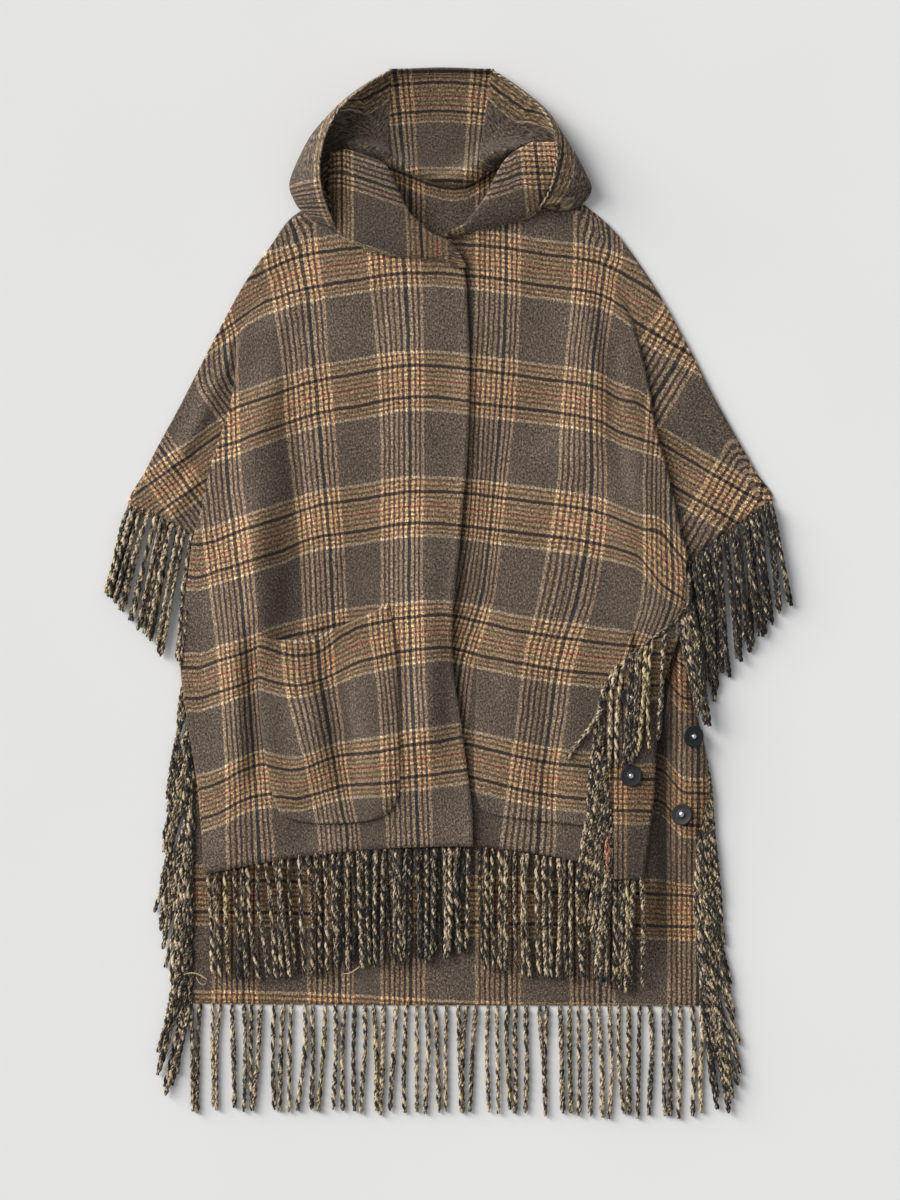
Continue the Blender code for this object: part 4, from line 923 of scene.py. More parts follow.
grid, keep, check, tone = front_grid(LEFT, True, CROSS_LEFT, LENGTH_LEFT, EDGES_LEFT, OUTER_LEFT)
front_left = shell("cloth_front_left", grid, check, WOOL_FACE, keep=keep, tone=tone)
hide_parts("front_left")
grid, keep, check, tone = front_grid(RIGHT, False, CROSS_RIGHT, LENGTH_RIGHT, EDGES_RIGHT, OUTER_RIGHT)
front_right = shell("cloth_front_right", grid, check, WOOL_FACE, keep=keep, tone=tone)
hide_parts("front_right")


# ---------------------------------------------------------------- the back

NECK_SEAM = [(389, 166), (402, 170), (413, 175), (428, 181), (442, 185), (454, 186.5), (466, 185), (474, 181), (483, 175.6), (496, 167), (511, 158)]
BACK_LENGTHS = [(117, -95), (163.5, -48.5), (212, 0), (258, 46.5), (307, 95), (355, 141.5), (380, 190), (425, 236.5), (475, 285), (521, 331.5), (570, 380), (615, 426.5), (667, 475), (712, 521.5), (760, 570)]


def back_check(x, y):
    warp = read(BACK_LENGTHS, x)
    shift = 23.0 * ease((x - 658) / 28.0) * ease((900 - y) / 60.0) * ease((y - 560) / 60.0)
    line = 881.7 + (x - 300) * 0.034 - 1.5 * np.sin((x - 200) / 60.0)
    low = 502 + (y - line - shift) - 0.0
    low = low + 125.5
    high = 30 + (y - read(NECK_SEAM, x)) * 1.15
    f = ease((y - 240) / 60.0)
    return warp, high * (1 - f) + low * f


def back_grid():
    rows = finer(BACK_ROWS, 5)
    flat, arch = 70, 18
    grid = np.zeros((len(rows), flat + arch, 3))
    check = np.zeros((len(rows), flat + arch, 2))
    sheet, tone = np.zeros_like(check), np.ones(check.shape[:2])
    for i, r in enumerate(rows):
        middle = 0.5 * (r.left_x + r.right_x)
        half = 0.5 * (r.right_x - r.left_x)
        edge = float(read(ROLL_EDGE, 0.5 * (r.left_y + r.right_y)))
        if r.right_y < 600:
            edge = r.right_x - 0.22 * half
        edge = min(edge, r.right_x - 6)
        x = np.concatenate([r.left_x + (edge - r.left_x) * np.arange(flat) / (flat - 1),
                            edge + (r.right_x - edge) * 0.5 * (1 - np.cos(np.pi * np.arange(1, arch + 1) / arch))])
        z = np.concatenate([np.full(flat, BED), BED + 0.001 * max(r.roll, 0) * np.sin(np.pi * np.arange(1, arch + 1) / arch)])
        u = (x - middle) / half
        y = np.where(u < 0, r.left_y, r.right_y) * u * u + r.mid_y * (1 - u * u)
        z = z + 0.001 * max(r.rise, 0) * ease(1.5 - 3.0 * np.abs(u))
        low = ease((y - 868) / 20.0) * ease((1003 - y) / 12.0) * ease((1 - np.abs(u)) * 12)
        z = z + np.maximum(ripple(x * 1.3, y * 1.3) + 0.0003, 0) * low
        grid[i] = place(x, y, z)
        sheet[i] = np.stack([x, y], 1)
        check[i] = np.stack(back_check(x, y), 1)
        # painted shadow in the valley between the turned strip and the back's rolled strip, and lighter painted shade
        # over the back's right side
        tone[i] = 1 - 0.66 * ease((x - 646) / 14.0) * ease((684 - x) / 20.0) * ease((y - 590) / 30.0) * ease((1000 - y) / 90.0) - 0.16 * ease((x - 640) / 30.0) * ease((y - 590) / 30.0) * ease((960 - y) / 90.0)
    # the neck's edge, up to where the hood is sewn on
    x, y = sheet[0, :, 0], sheet[0, :, 1]
    seam = np.minimum(read(NECK_SEAM, x) - 2.0, y - 0.3)
    t = np.linspace(0, 1, 6, endpoint=False)[:, None]
    ny = seam + (y - seam) * t
    nx = np.repeat(x[None, :], 6, 0)
    nz = 0.0096 + (grid[0, :, 2] - 0.0096) * ease(t)
    neck = np.stack([(nx - SHEET_CENTRE[0]) * SQUARE, (SHEET_CENTRE[1] - ny) * SQUARE, np.broadcast_to(nz, nx.shape)], -1)
    keep = np.ones((len(rows) + 5, flat + arch - 1), bool)
    keep[:6, :] = ((x[:-1] > 386) & (x[1:] < 514))[None, :]
    # the neck rows take painted shade (tone 0.8) under the hood and lapels
    return np.concatenate([neck, grid]), np.concatenate([np.stack(back_check(nx, ny), -1), check]), np.concatenate([np.full(nx.shape, 0.8), tone]), keep


grid, check, tone, keep = back_grid()
back = shell("cloth_back", grid, check, WOOL_REVERSE, keep=keep, flat_under=0.0, tone=tone)
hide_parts("back")


# ---------------------------------------------------------------- pockets

def pocket_grid(rows, front, cross, length, edges):
    rows = finer(rows, 8)
    cols = 44
    grid, check = np.zeros((len(rows), cols, 3)), np.zeros((len(rows), cols, 2))
    t = np.linspace(0, 1, cols)
    for i, r in enumerate(rows):
        down = i / (len(rows) - 1)
        x = r.left_x + (r.right_x - r.left_x) * t
        y = r.left_y + (r.right_y - r.left_y) * t + r.sag * np.sin(np.pi * t ** 0.7)
        rim = np.minimum.reduce([t * 16, (1 - t) * 16, np.full(cols, (1 - down) * 20)])
        lift = POCKET_LIFT - 0.0007 * (1 - ease(rim)) + 0.0006 * np.exp(-((rim - 1.4) / 0.8) ** 2)
        gape = 0.0022 * ease(1 - down / 0.16) * np.sin(np.pi * t ** 0.8) * (2.0 if front.side < 0 else 0.5)
        grid[i] = place(x, y, front.height(x, y) + lift + gape)
        check[i] = np.stack(check_at(cross, length, edges, x, y), 1)
    return grid, check


grid, check = pocket_grid(LEFT_POCKET, LEFT, CROSS_POCKET, LENGTH_POCKET, EDGES_LEFT)
x, y = grid[..., 0] / SQUARE + SHEET_CENTRE[0], SHEET_CENTRE[1] - grid[..., 1] / SQUARE
# painted shade down the pocket's diagonal fold and along its left side
tone = 1 - 0.17 * beside(x, y, 303, 655, 344, 785, 9) - 0.10 * beside(x, y, 262, 640, 268, 770, 6)
pocket_left = shell("cloth_pocket_left", grid, check, WOOL_FACE, tone=tone)
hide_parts("pocket_left")
grid, check = pocket_grid(RIGHT_POCKET, RIGHT, CROSS_RIGHT, LENGTH_RIGHT, EDGES_RIGHT)
# painted shade: the right pocket a little darker, like the right front
pocket_right = shell("cloth_pocket_right", grid, check, WOOL_FACE, tone=0.95)
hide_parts("pocket_right")


# ---------------------------------------------------------------- the turned side strip

def strip_grid(front):
    arc, top = 12, 22
    rows = finer(front.rows[UNDERARM + 1:], 7)
    grid, check = np.zeros((len(rows), arc + top, 3)), np.zeros((len(rows), arc + top, 2))
    for i, r in enumerate(rows):
        under = float(front.height(r.fold_x - (TURN_BEND + TURN_CLEAR) / SQUARE, r.fold_y))
        turn_x = r.fold_x - TURN_BEND / SQUARE
        a = np.pi * np.arange(arc) / (arc - 1)
        x0 = turn_x + TURN_BEND / SQUARE * np.sin(a)
        z0 = under + TURN_BEND * (1 - np.cos(a))
        free = min(float(read(STRIP_EDGE, r.fold_y)), turn_x - 3)
        t = np.arange(1, top + 1) / top
        x1 = turn_x + (free - turn_x) * t
        z1 = np.maximum(front.height(x1, np.full(top, r.fold_y)), under) + 2 * TURN_BEND
        z1 = z1 + 0.0012 * np.sin(np.pi * t) * ease((i - 6) / 20.0)
        x = np.concatenate([x0, x1])
        grid[i] = place(x, np.full(arc + top, r.fold_y), np.concatenate([z0, z1]))
        weft = r.fold_y - 777 + 502 - 0.02 * (x - 630)
        warp = 600 + (x - 610)
        check[i] = np.stack([warp, weft], 1)
    return grid, check


grid, check = strip_grid(RIGHT)
# painted shade: the turned strip is darkened, lying low beside the folds
side_strip = shell("cloth_side_strip", grid, check, WOOL_REVERSE, tone=0.80)
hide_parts("side_strip_turned")
edge_y = np.linspace(603, 703, 70)
edge_x = np.array([float(read(STRIP_EDGE, y)) for y in edge_y])
edge_x = edge_x + 0.9 * np.sin(edge_y / 7.3) + 0.6 * np.sin(edge_y / 3.1 + 1) + 1.0
EDGE_PATHS = [place(edge_x, edge_y, RIGHT.height(edge_x, edge_y) + 2 * TURN_BEND + 0.0010)]


# ---------------------------------------------------------------- hood and lapels

def section(points, counts):
    v = np.array(points, float)
    t = np.concatenate([np.linspace(i, i + 1, n, endpoint=False) for i, n in enumerate(counts)] + [[len(v) - 1]])
    return through(v, t)


def hood_grid(rows, times):
    t = np.linspace(0, len(rows) - 1, (len(rows) - 1) * times + 1)
    table = through([[list(p) for p in r] for r in rows], t)
    grid, sheet = [], []
    for r in table:
        curve = section(r, (8, 8, 10, 12, 7))
        grid.append(place(curve[:, 0], curve[:, 1], np.maximum(0.001 * curve[:, 2], BED)))
        sheet.append(curve)
    return np.array(grid), np.array(sheet)


def lengths_along(grid):
    """Distance along each section from its first point, in squares."""
    step = np.linalg.norm(np.diff(grid, axis=1), axis=2) / SQUARE
    return np.concatenate([np.zeros((len(grid), 1)), np.cumsum(step, 1)], 1)


def lengths_down(grid, col):
    step = np.linalg.norm(np.diff(grid[:, col], axis=0), axis=1) / SQUARE
    return np.concatenate([[0], np.cumsum(step)])


def puff(grid, sheet, amount):
    """Slight unevenness of the hood's cloth, in and out of it."""
    out = grid.copy()
    out[..., 2] += amount * (ripple(sheet[..., 0] * 1.5 + 40, sheet[..., 1] * 1.5 + sheet[..., 2]) + 0.0004) * ease((grid[..., 2] - 0.0014) / 0.004)
    return out


def hood_side(name, rows, node, warps, wefts):
    grid, sheet = hood_grid(rows, 9)
    along = lengths_along(grid)
    down = lengths_down(grid, 0)
    across = np.repeat(np.interp(down, *warps)[:, None], along.shape[1], 1)
    check = np.stack([across, np.interp(down, *wefts)[:, None] - along], -1)
    EDGE_PATHS.append(grid[:, 0])
    # painted shade: the hood's sides a little darker, and darker still further in from the front edge, inside the hood
    inside = ease((along - 22) / 16.0)
    made = shell(name, puff(grid, sheet, 1.0), check, WOOL_FACE, flat_under=0.0002, tone=0.9 - 0.20 * inside)
    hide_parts(node)
    return made


hood_left = hood_side("cloth_hood_side_left", HOOD_LEFT, "hood_side_left", ([0, 138, 176, 250], [52, 90, 126, 200]), ([0, 40, 72, 104, 150], [26, 26, 3, -7, -7]))
hood_right = hood_side("cloth_hood_side_right", HOOD_RIGHT, "hood_side_right", ([0, 150, 200], [52, 90, 110]), ([0, 50, 80, 110, 150], [26, 30, 16, 7, 4]))
grid, sheet = hood_grid(HOOD_GUSSET, 12)
x, y = sheet[..., 0], sheet[..., 1]
line = y - (81 + 4 * ((x - 439) / 46) ** 2)
weft = np.interp(line, [-12, 0, 30, 40, 86, 120], [-14, 0, 33, 45, 111, 150])
outside = np.arange(sheet.shape[1])[None, :] < 16
weft = np.where(outside, -14 - (16 - np.arange(sheet.shape[1]))[None, :] * 1.2, weft)
check = np.stack([236.5 + (x - 416 - 0.06 * (y - 100) * (x - 440) / 25 * -1) * 0.97, weft], -1)
grid[..., 0] += (grid[..., 0] - (441 - SHEET_CENTRE[0]) * SQUARE) * 0.07
grid[:, 14:, 2] -= 0.0004
grid[:, :18, 2] *= 1 - 0.42 * np.sin(np.pi * np.linspace(0.1, 0.9, len(grid)))[:, None] * ease((18 - np.arange(18)) / 6.0)[None, :]
# painted shade: the gusset is darkened, lying deep inside the hood
hood_gusset = shell("cloth_hood_gusset", puff(grid, sheet, 1.0), check, WOOL_FACE, flat_under=0.0002, tone=0.76)
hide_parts("hood_gusset")


def lapel_grid(rows, times):
    t = np.linspace(0, len(rows) - 1, (len(rows) - 1) * times + 1)
    table = through([[*r.edge, *r.crest, r.back, r.drop] for r in rows], t)
    grid, sheet = [], []
    for ex, ey, ez, cx, cy, cz, back_run, drop in table:
        edge, crest = np.array([ex, ey, ez]), np.array([cx, cy, cz])
        inward = (edge - crest)[:2]
        inward /= np.linalg.norm(inward)

        def at(t, z):
            return [*(edge[:2] + (crest[:2] - edge[:2]) * t), z]

        rise = cz - ez
        points = [at(0, ez), at(0.12, ez + 0.42 * rise), at(0.45, ez + 0.82 * rise), at(0.85, cz), [cx, cy, cz - 1.6]]
        points.append([*(crest[:2] + inward * 0.35 * back_run), cz - 0.55 * drop - 0.8])
        points.append([*(crest[:2] + inward * back_run), cz - drop])
        curve = section(points, (6, 10, 10, 6, 5, 5))
        grid.append(place(curve[:, 0], curve[:, 1], 0.001 * curve[:, 2]))
        sheet.append(curve)
    return np.array(grid), np.array(sheet)


grid, sheet = lapel_grid(LAPEL_LEFT, 7)
x, y = sheet[..., 0], sheet[..., 1]
EDGE_PATHS.append(grid[:, 0])
check = np.stack([31.5 + (y - 174) - 0.34 * (x - 345) * ease((x - 335) / 20.0),
                  np.interp(x - 0.06 * (y - 200) * ease((x - 380) / 20), [300, 325, 342.5, 354, 404, 418.5, 434, 446, 480], [-15, 10, 33.6, 47, 111.5, 127, 141.5, 152, 156])], -1)
# painted shade: the left lapel is darkened
lapel_left = shell("cloth_lapel_left", puff(grid, sheet, 0.6), check, WOOL_FACE, tone=0.84)
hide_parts("lapel_left")
grid, sheet = lapel_grid(LAPEL_RIGHT, 7)
x, y = sheet[..., 0], sheet[..., 1]
EDGE_PATHS.append(grid[:, 0])
check = np.stack([31.5 + (y - 175) + 0.25 * (x - 530) * ease((525 - x) / 20.0), (x - 0.1 * (y - 150)) - 533.5], -1)
# painted shade: the right lapel is darkened
lapel_right = shell("cloth_lapel_right", puff(grid, sheet, 0.6), check, WOOL_FACE, tone=0.88)
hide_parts("lapel_right")

# ---------------------------------------------------------------- fringe

# A run of strands between key rows: where a strand starts on the edge and where its tip lies, with how many there are,
# the height of its start and of its lie in millimetres, and how far it first runs straight out of the edge.
Key = namedtuple("Key", "x y tip_x tip_y")
# a run's tone shifts its strands lighter or darker: partly the yarn's own mix, partly painted shade, darker for runs
# that lie under others, on the right side and at the right cuff
Run = namedtuple("Run", "count start_z rest_z out_x out_y jitter tone keys lively", defaults=(2.0,))
FRINGE_RUNS = {
    "fringe_back_hem": [
        Run(51, 1.6, 2.9, 0, 4, 3.6, 0.02, [Key(191, 1003, 190, 1110), Key(300, 1004.5, 297, 1111), Key(448, 1005, 447, 1111), Key(590, 1005.5, 592, 1114), Key(702, 1005.5, 700, 1116)], 0.6),
    ],
    "fringe_front_left_hem": [
        Run(32, 6.4, 8.0, 0, 4, 3.4, -0.05, [Key(208, 873, 213, 977), Key(234, 865, 238, 978), Key(276, 856, 284, 977), Key(318, 853, 320, 971), Key(360, 849.5, 360, 966), Key(424, 848.5, 423, 961), Key(468, 844.5, 469, 951)]),
        Run(24, 5.6, 5.4, 0, 4, 4.6, -0.18, [Key(334, 852, 340, 962), Key(372, 849.5, 376, 958), Key(424, 849, 428, 955), Key(466, 845, 462, 949)]),
    ],
    "fringe_front_right_hem": [
        Run(23, 6.0, 7.4, 0, 4, 3.4, -0.05, [Key(479, 847, 481, 966), Key(512, 851, 512, 971), Key(548, 857, 550, 975), Key(590, 862, 590, 979), Key(634, 876, 630, 984)]),
    ],
    "fringe_strip_hem": [
        Run(5, 9.6, 8.6, 0, 4, 2.0, 0.0, [Key(614, 877, 613, 986), Key(641, 877, 639, 989)]),
    ],
    "fringe_strip_edge": [
        Run(8, 6.0, 13.0, 5, 5, 2.4, -0.10, [Key(691, 599, 708, 727), Key(685, 606, 704, 724), Key(677, 618, 699, 712)]),
        Run(1, 19.0, 17.0, -1, 3, 1.0, -0.10, [Key(665, 634, 657, 742), Key(664.5, 635, 657, 742)]),
        Run(1, 18.5, 16.0, -3, 3, 1.0, 0.08, [Key(652, 642, 648, 748), Key(651.5, 642, 648, 748)]),
        Run(1, 18.5, 16.0, -3, 3, 0.6, 0.10, [Key(646, 646, 639, 752), Key(645.5, 646, 639, 752)]),
        Run(4, 18.5, 16.5, -2, 3, 0.25, 0.0, [Key(640, 650, 637, 757), Key(635.6, 653, 631.6, 762), Key(628, 658, 624, 768)]),
        Run(2, 18.5, 16.0, -3, 3, 1.4, 0.02, [Key(626, 658, 617, 766), Key(618, 664, 609, 768)]),
        Run(11, 17.5, 13.4, -6, 2, 2.4, -0.06, [Key(606, 684, 594, 800), Key(600, 706, 588, 824), Key(602, 735, 584, 852), Key(606, 765, 583, 880)]),
        Run(1, 19.5, 16.5, -6, 8, 0.5, 0.0, [Key(602, 708, 565, 760), Key(602.5, 709, 565, 760)]),
        Run(13, 14.0, 12.2, -7, 2, 3.4, -0.04, [Key(605, 762, 588, 880), Key(610, 800, 591, 918), Key(612, 836, 594, 952), Key(611, 874, 602, 990)]),
        Run(10, 12.6, 10.4, -5, 2, 3.4, -0.18, [Key(602, 708, 600, 826), Key(605, 760, 600, 878), Key(610, 812, 603, 930), Key(611, 868, 606, 986)]),
    ],
    "fringe_side_left": [
        Run(18, 2.4, 3.6, -6, 5, 2.8, -0.01, [Key(188, 668, 178, 744), Key(191, 700, 169, 800), Key(192, 770, 162, 882), Key(192, 828, 161, 930), Key(192, 850, 166, 948)]),
        Run(16, 2.4, 4.4, -4, 6, 2.8, -0.02, [Key(192, 790, 182, 900), Key(192, 850, 172, 958), Key(192, 905, 166, 1012), Key(191, 955, 157, 1062), Key(191, 1000, 164, 1094)]),
        Run(14, 2.4, 3.4, -2, 8, 2.6, -0.16, [Key(193, 700, 186, 800), Key(194, 780, 188, 886), Key(194, 850, 180, 960), Key(193, 930, 176, 1040), Key(192, 996, 172, 1088)]),
    ],
    "fringe_side_right": [
        Run(17, 2.6, 4.0, 6, 5, 2.6, -0.05, [Key(704, 752, 712, 858), Key(702, 800, 718, 905), Key(697, 850, 724, 956), Key(697, 905, 733, 1012), Key(700, 950, 739, 1058), Key(704, 996, 735, 1098)]),
        Run(15, 2.6, 4.8, 3, 7, 2.6, -0.02, [Key(702, 790, 708, 900), Key(696, 850, 712, 962), Key(695, 905, 722, 1018), Key(699, 955, 728, 1068), Key(704, 1002, 726, 1114)]),
        Run(14, 2.6, 3.6, 2, 8, 2.6, -0.18, [Key(700, 830, 704, 944), Key(694, 890, 711, 1004), Key(698, 950, 716, 1062), Key(703, 1000, 716, 1110)]),
    ],
    "fringe_cuff_left_back": [
        Run(10, 1.4, 3.2, -1, 4, 3.2, -0.06, [Key(132, 505, 107, 596), Key(151, 512, 124, 612), Key(172, 521, 150, 642), Key(187, 531, 168, 660), Key(200, 537, 186, 664)]),
    ],
    "fringe_cuff_left_front": [
        Run(12, 4.0, 7.4, -2, 4, 3.0, 0.02, [Key(130, 505, 105, 592), Key(147, 510, 116, 604), Key(162, 515, 136, 628), Key(175, 523, 150, 640), Key(191, 534, 174, 660), Key(197, 537, 181, 664)]),
    ],
    "fringe_cuff_right_back": [
        Run(17, 1.4, 3.2, 2, 4, 3.2, -0.20, [Key(769, 503, 785, 606), Key(749, 515, 762, 636), Key(725, 532, 735, 660), Key(706, 548, 712, 700), Key(696, 558, 701, 706), Key(686, 568, 693, 690)]),
    ],
    "fringe_cuff_right_front": [
        Run(18, 4.0, 7.4, 2, 4, 3.2, -0.15, [Key(771, 501, 786, 602), Key(748, 516, 764, 624), Key(729, 529, 744, 648), Key(712, 543, 727, 668), Key(692, 560, 703, 690), Key(688, 564, 694, 684)]),
    ],
}
PLY_OFFSET, PLY_RADIUS, TWIST = 0.00115, 0.00190, 0.0185  # from the strand's line, a ply's own radius, and one turn's length


def strand(points, out, tone, tint, hand, fray, size=1.0, rings=52):
    """Adds one strand's two plies, twisted about a line of points, to a mesh in the making."""
    points = np.asarray(points)
    step = np.linalg.norm(np.diff(points, axis=0), axis=1)
    along = np.concatenate([[0], np.cumsum(step)])
    total = along[-1]
    s = np.linspace(0, total, rings)
    line = np.stack([np.interp(s, along, points[:, k]) for k in range(3)], 1)
    tangent = np.gradient(line, axis=0)
    tangent /= np.linalg.norm(tangent, axis=1)[:, None]
    side = np.cross(tangent, (0, 0, 1.0))
    side /= np.linalg.norm(side, axis=1)[:, None] + 1e-9
    up = np.cross(side, tangent)
    sides = 6
    phase = rng.uniform(0, 2 * math.pi)
    twist = TWIST * rng.uniform(0.7, 1.25) * size
    slim = rng.uniform(0.88, 1.1) * size
    apart_tone = rng.uniform(0.02, 0.13)
    for ply in range(2):
        a = phase + hand * 2 * math.pi * s / twist + math.pi * ply
        swell = slim * (1 + 0.10 * np.sin(s / 0.011 + phase)) * (0.72 + 0.28 * ease(s / 0.008)) * (1 - 0.35 * ease((s - total + 0.006) / 0.006))
        apart = np.where(s > total - 0.009, 1 + fray * (s - total + 0.009) / 0.009, 1.0)
        centre = line + (PLY_OFFSET * swell * apart)[:, None] * (np.cos(a)[:, None] * side + 0.82 * np.sin(a)[:, None] * up)
        ring = np.arange(sides) * 2 * math.pi / sides
        r = (PLY_RADIUS * swell)[:, None, None]
        body = centre[:, None, :] + r * (np.cos(ring)[None, :, None] * side[:, None, :] + 0.9 * np.sin(ring)[None, :, None] * up[:, None, :])
        first = out["n"]
        out["points"].append(body.reshape(-1, 3))
        out["points"].append(centre[[0, -1]] + tangent[[0, -1]] * np.array([[-0.0006], [0.0012]]))
        out["uv"].append(np.stack([np.repeat(s, sides) / SQUARE * 0.01 + 3.1 * first % 1.7, (np.tile(np.arange(sides), rings) / sides + ply * 0.5 + a.repeat(sides) / 6.283) * 0.12 + first * 0.37 % 5], 1))
        out["uv"].append(np.zeros((2, 2)))
        lean = tone + (apart_tone if ply else -apart_tone - 0.02)
        out["tone"].append(np.tile([np.clip(0.5 + lean, 0, 1), tint[0], tint[1], 1.0], (rings * sides + 2, 1)))
        i = np.arange(rings - 1)[:, None] * sides + np.arange(sides)[None, :]
        j = np.arange(rings - 1)[:, None] * sides + (np.arange(sides)[None, :] + 1) % sides
        out["quads"].append(np.stack([i, j, j + sides, i + sides], -1).reshape(-1, 4) + first)
        k = np.arange(sides)
        top, tip = first + rings * sides, first + rings * sides + 1
        out["tris"].append(np.stack([(k + 1) % sides + first, k + first, np.full(sides, top)], 1))
        out["tris"].append(np.stack([k + first + (rings - 1) * sides, (k + 1) % sides + first + (rings - 1) * sides, np.full(sides, tip)], 1))
        out["n"] += rings * sides + 2


def fringe_piece(node, runs):
    out = new_yarn()
    for run in runs:
        keys = np.array([list(k) for k in run.keys], float)
        walk = np.concatenate([[0], np.cumsum(np.hypot(*np.diff(keys[:, :2], axis=0).T))])
        where = np.linspace(0, walk[-1], run.count)
        pitch = walk[-1] / max(run.count - 1, 1)
        for k, at in enumerate(where):
            at = np.clip(at + rng.uniform(-0.22, 0.22) * pitch, 0, walk[-1])
            bx, by, tx, ty = (np.interp(at, walk, keys[:, c]) for c in range(4))
            lean = run.jitter * (rng.normal() * 0.55 + (0.9 if k % 2 == 0 else -0.9) * rng.uniform(0, 1) ** 1.5)
            lean = np.clip(lean, -1.8 * run.jitter, 1.8 * run.jitter)
            across = np.array([-(ty - by), tx - bx])
            across /= np.linalg.norm(across)
            tip = np.array([tx, ty]) - across * lean * 1.3
            tip = np.array([bx, by]) + (tip - (bx, by)) * (1 + rng.normal() * 0.016)
            t = np.linspace(0, 1, 26)
            c = np.array([bx + run.out_x, by + run.out_y]) + (tip - (bx, by)) * 0.22
            flat = ((1 - t) ** 2)[:, None] * (bx, by) + (2 * t * (1 - t))[:, None] * c + (t ** 2)[:, None] * tip
            sway = rng.normal() * 1.3 * np.sin(np.pi * t) + rng.normal() * 0.9 * np.sin(2 * np.pi * t + rng.uniform(0, 3)) * t
            flat = flat - across[None, :] * sway[:, None]
            bounce = run.lively * rng.uniform(0.0, 1.0) + 0.8 * run.lively * rng.uniform(0, 1) * np.sin(np.pi * t * rng.uniform(0.8, 2.0) + rng.uniform(0, 3)) ** 2
            z = run.start_z + (run.rest_z - run.start_z) * ease(t * 7) + bounce * ease(t * 6)
            z = np.maximum(z, 1.6 + 1.7 * ease(t * 9)) if run.start_z < 3 else z
            strand_tone = run.tone + rng.normal() * 0.055
            tint = (0.46 if rng.uniform() < 0.10 else 0.0, 0.0)
            strand(place(flat[:, 0], flat[:, 1], 0.001 * z), out, strand_tone, tint, 1.0, rng.uniform(0.1, 0.9))
    made = yarn_object("strands_" + node[7:], out)
    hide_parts(node)
    return made


def new_yarn():
    return {"points": [], "uv": [], "tone": [], "quads": [], "tris": [], "n": 0}


def yarn_object(name, out):
    points, uv, tone = (np.vstack(out[k]) for k in ("points", "uv", "tone"))
    points[:, 2] = np.maximum(points[:, 2], 0.0001)
    quads, tris = np.vstack(out["quads"]), np.vstack(out["tris"])
    mesh = bpy.data.meshes.new(name)
    mesh.from_pydata(points.tolist(), [], quads.tolist() + tris.tolist())
    mesh.shade_smooth()
    set_uv(mesh, uv)
    layer = mesh.color_attributes.new("tone", "FLOAT_COLOR", "POINT")
    layer.data.foreach_set("color", tone.ravel())
    return new_object(name, mesh, YARN)


FRINGE = {node: fringe_piece(node, runs) for node, runs in FRINGE_RUNS.items()}


# whipped edges of the hood and the lapels
out = new_yarn()
for k, path in enumerate(EDGE_PATHS):
    path = path + np.array([0, 0, 0.0004])
    long = np.linalg.norm(np.diff(path, axis=0), axis=1).sum()
    strand(path, out, -0.08 if k == 0 else 0.06, (0.0, 0.0), 1.0, 0.0, 0.8 if k == 0 else 0.45, int(long / 0.0011))
# loose ends: orange yarns beside the strip, pale threads over the hem's fringe
LooseEnd = namedtuple("LooseEnd", "x0 y0 x1 y1 x2 y2 z tone russet size")
for e in [
    LooseEnd(609, 836, 602, 846, 608, 858, 0.0175, 0.10, 0.75, 0.55),
    LooseEnd(610, 848, 603, 860, 609, 871, 0.0178, 0.06, 0.70, 0.55),
    LooseEnd(606, 841, 613, 852, 606, 866, 0.0172, 0.04, 0.60, 0.50),
    LooseEnd(184.5, 974, 196, 969, 207, 979, 0.0118, 0.34, 0.0, 0.24),
    LooseEnd(197, 977, 200, 986, 206, 983, 0.0115, 0.30, 0.0, 0.22),
    LooseEnd(343.5, 973, 351, 974, 359.5, 966, 0.0118, 0.34, 0.0, 0.24),
]:
    t = np.linspace(0, 1, 24)
    x = (1 - t) ** 2 * e.x0 + 2 * t * (1 - t) * e.x1 + t ** 2 * e.x2
    y = (1 - t) ** 2 * e.y0 + 2 * t * (1 - t) * e.y1 + t ** 2 * e.y2
    strand(place(x, y, np.full(24, e.z)), out, e.tone, (0.0, e.russet), 1.0, 0.5, e.size, 30)
yarn_object("edge_stitches", out)

# ---------------------------------------------------------------- snaps

def turned(name, profile, sides, at, normal, surface, slot):
    up = np.array(normal, float) / np.linalg.norm(normal)
    side = np.cross([0, 1, 0], up)
    side /= np.linalg.norm(side)
    other = np.cross(up, side)
    a = 2 * np.pi * np.arange(sides) / sides
    points, faces = [], []
    for radius, height in profile:
        points += list(at + radius * (np.cos(a)[:, None] * side + np.sin(a)[:, None] * other) + height * up)
    for i in range(len(profile) - 1):
        for k in range(sides):
            p, q = i * sides + k, i * sides + (k + 1) % sides
            faces.append((p, q, q + sides, p + sides))
    faces += [tuple(range(sides))[::-1], tuple(range((len(profile) - 1) * sides, len(profile) * sides))]
    mesh = bpy.data.meshes.new(name)
    mesh.from_pydata([tuple(p) for p in points], [], faces)
    mesh.shade_smooth()
    mesh.set_sharp_from_angle(angle=math.radians(40))
    return new_object(name, mesh, surface)


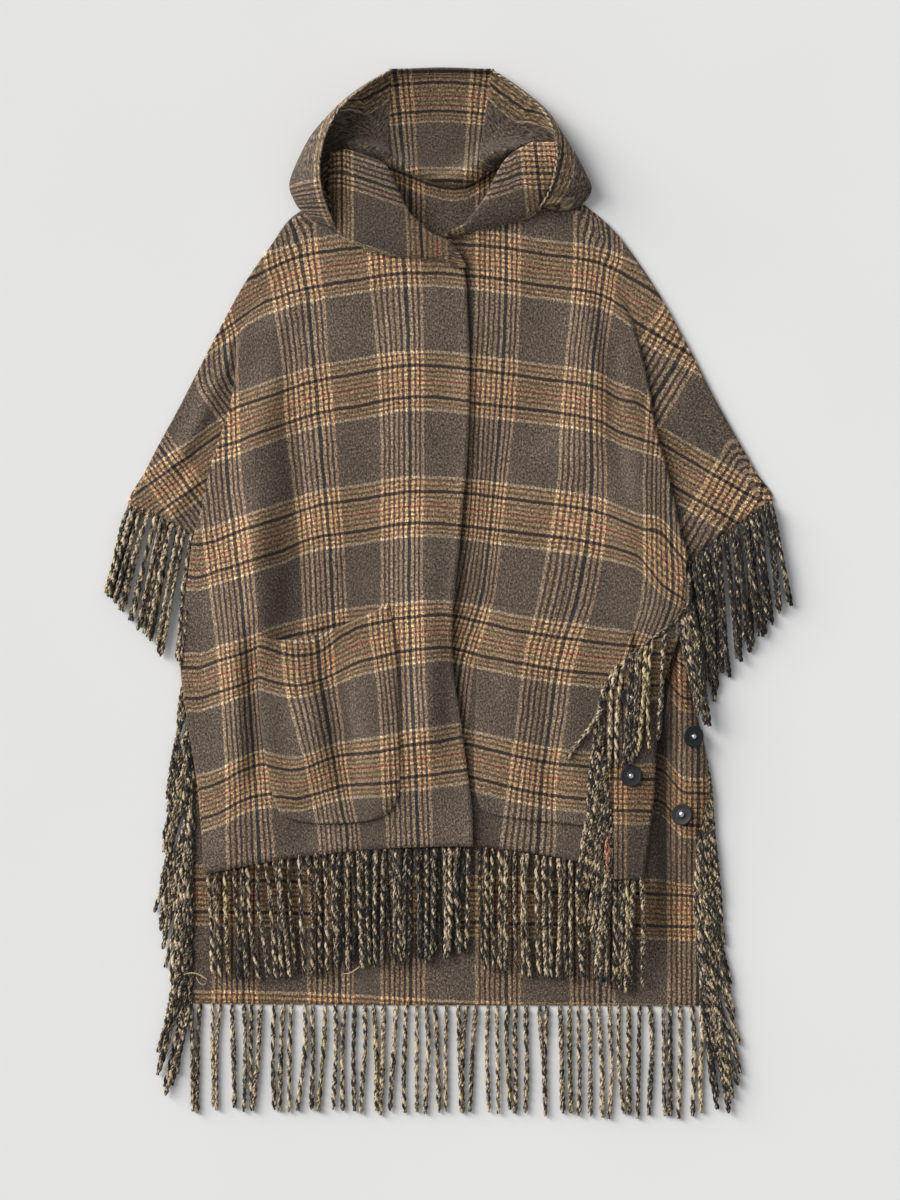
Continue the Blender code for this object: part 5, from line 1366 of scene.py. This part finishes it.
def snap(number, at, normal):
    """A snap's covered disc with its rolled rim and dished face, and the bright stud in its middle."""
    up = np.array(normal, float) / np.linalg.norm(normal)
    seat = np.asarray(at) + up * (CLOTH / 2 + SNAP_CLEAR)
    r, t = SNAP_RADIUS, SNAP_THICK
    disc = turned(f"disc_{number}", [
        (r * 0.90, 0.0), (r * 0.965, 0.0001), (r * 0.99, 0.0006), (r, 0.0012), (r * 0.992, 0.0018), (r * 0.965, 0.0023),
        (r * 0.92, t), (r * 0.86, t - 0.0001), (r * 0.80, t - 0.0004), (r * 0.50, t - 0.0006), (r * 0.34, t - 0.0005),
        (r * 0.30, t - 0.0001), (r * 0.24, t)], 72, seat, up, SNAP_BLACK, "snap_cover")
    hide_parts(f"snap_disc_{number}")
    top = seat + up * t
    r, h = STUD_RADIUS, STUD_HEIGHT
    stud = turned(f"stud_{number}", [
        (r * 1.0, -0.0002), (r * 1.05, 0.0001), (r * 0.98, 0.0004), (r * 0.72, 0.0005), (r * 0.62, 0.0007), (r * 0.66, 0.0011),
        (r * 0.60, 0.0014), (r * 0.40, h + 0.0003), (r * 0.15, h + 0.0004)], 36, top, up, SNAP_METAL, "snap_metal")
    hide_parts(f"snap_stud_{number}")


for number, (x, y) in enumerate(STRIP_SNAPS, 1):
    snap(number, place(x, y, float(RIGHT.height(x, y)) + 2 * TURN_BEND + 0.0010), (0.03, 0.02, 1))
for number, (x, y) in enumerate(BACK_SNAPS, 3):
    edge, right = float(read(ROLL_EDGE, y)), float(read([(r.right_y, r.right_x) for r in BACK_ROWS], y))
    roll = 0.001 * float(read([(r.right_y, r.roll) for r in BACK_ROWS], y))
    half = 0.5 * (right - edge) * SQUARE
    u = (x - 0.5 * (right + edge)) * SQUARE / half
    height = BED + roll * math.sqrt(1 - u * u)
    slope = -roll * u / math.sqrt(1 - u * u) / half
    snap(number, place(x, y, height), (-slope, 0, 1))


# ---------------------------------------------------------------- floor, light and camera

mesh = bpy.data.meshes.new("floor")
mesh.from_pydata([(-6, -6, -0.0004), (6, -6, -0.0004), (6, 6, -0.0004), (-6, 6, -0.0004)], [], [(0, 1, 2, 3)])
floor = bpy.data.objects.new("floor", mesh)
bpy.context.scene.collection.objects.link(floor)
n = Nodes("floor_paper")
co = n.tree.nodes.new("ShaderNodeTexCoord").outputs["Object"]
n.put(n.shader.inputs["Base Color"], n.ramp(n.noise(co, 3.0, 2.0, 0.5, flat=False), [(0.3, (0.775, 0.775, 0.778)), (0.7, (0.79, 0.79, 0.793))], "LINEAR"))
n.shader.inputs["Roughness"].default_value = 0.95
n.shader.inputs["Specular IOR Level"].default_value = 0.1
mesh.materials.append(n.material)

world = bpy.data.worlds.new("studio")
bpy.context.scene.world = world
world.use_nodes = True
world.node_tree.nodes["Background"].inputs["Color"].default_value = (0.97, 0.985, 1.0, 1)
world.node_tree.nodes["Background"].inputs["Strength"].default_value = 0.38

from mathutils import Vector

# a large soft light from the upper left, and a low one beside it that draws the folds and the edges' soft shadows
for name, energy, azimuth, rise, spread in [("key", 1.80, 146, 40, 32), ("low", 2.9, 148, 16.5, 34)]:
    lamp = bpy.data.objects.new(name, bpy.data.lights.new(name, "SUN"))
    lamp.data.energy = energy
    lamp.data.angle = math.radians(spread)
    lamp.data.color = (1.0, 0.985, 0.96)
    a, e = math.radians(azimuth), math.radians(rise)
    lamp.rotation_euler = Vector((math.cos(a) * math.cos(e), math.sin(a) * math.cos(e), math.sin(e))).to_track_quat("Z", "Y").to_euler()
    bpy.context.scene.collection.objects.link(lamp)

camera = bpy.data.objects.new("camera", bpy.data.cameras.new("camera"))
bpy.context.scene.collection.objects.link(camera)
distance = 7.0
camera.location = ((450 - SHEET_CENTRE[0]) * SQUARE, (SHEET_CENTRE[1] - 600) * SQUARE, distance)
camera.data.sensor_fit = "HORIZONTAL"
camera.data.sensor_width = 36.0
camera.data.lens = 36.0 * distance / (900 * SQUARE)
camera.data.clip_end = 50.0
bpy.context.scene.camera = camera
bpy.context.scene.view_settings.view_transform = "Standard"
bpy.context.scene.view_settings.look = "None"
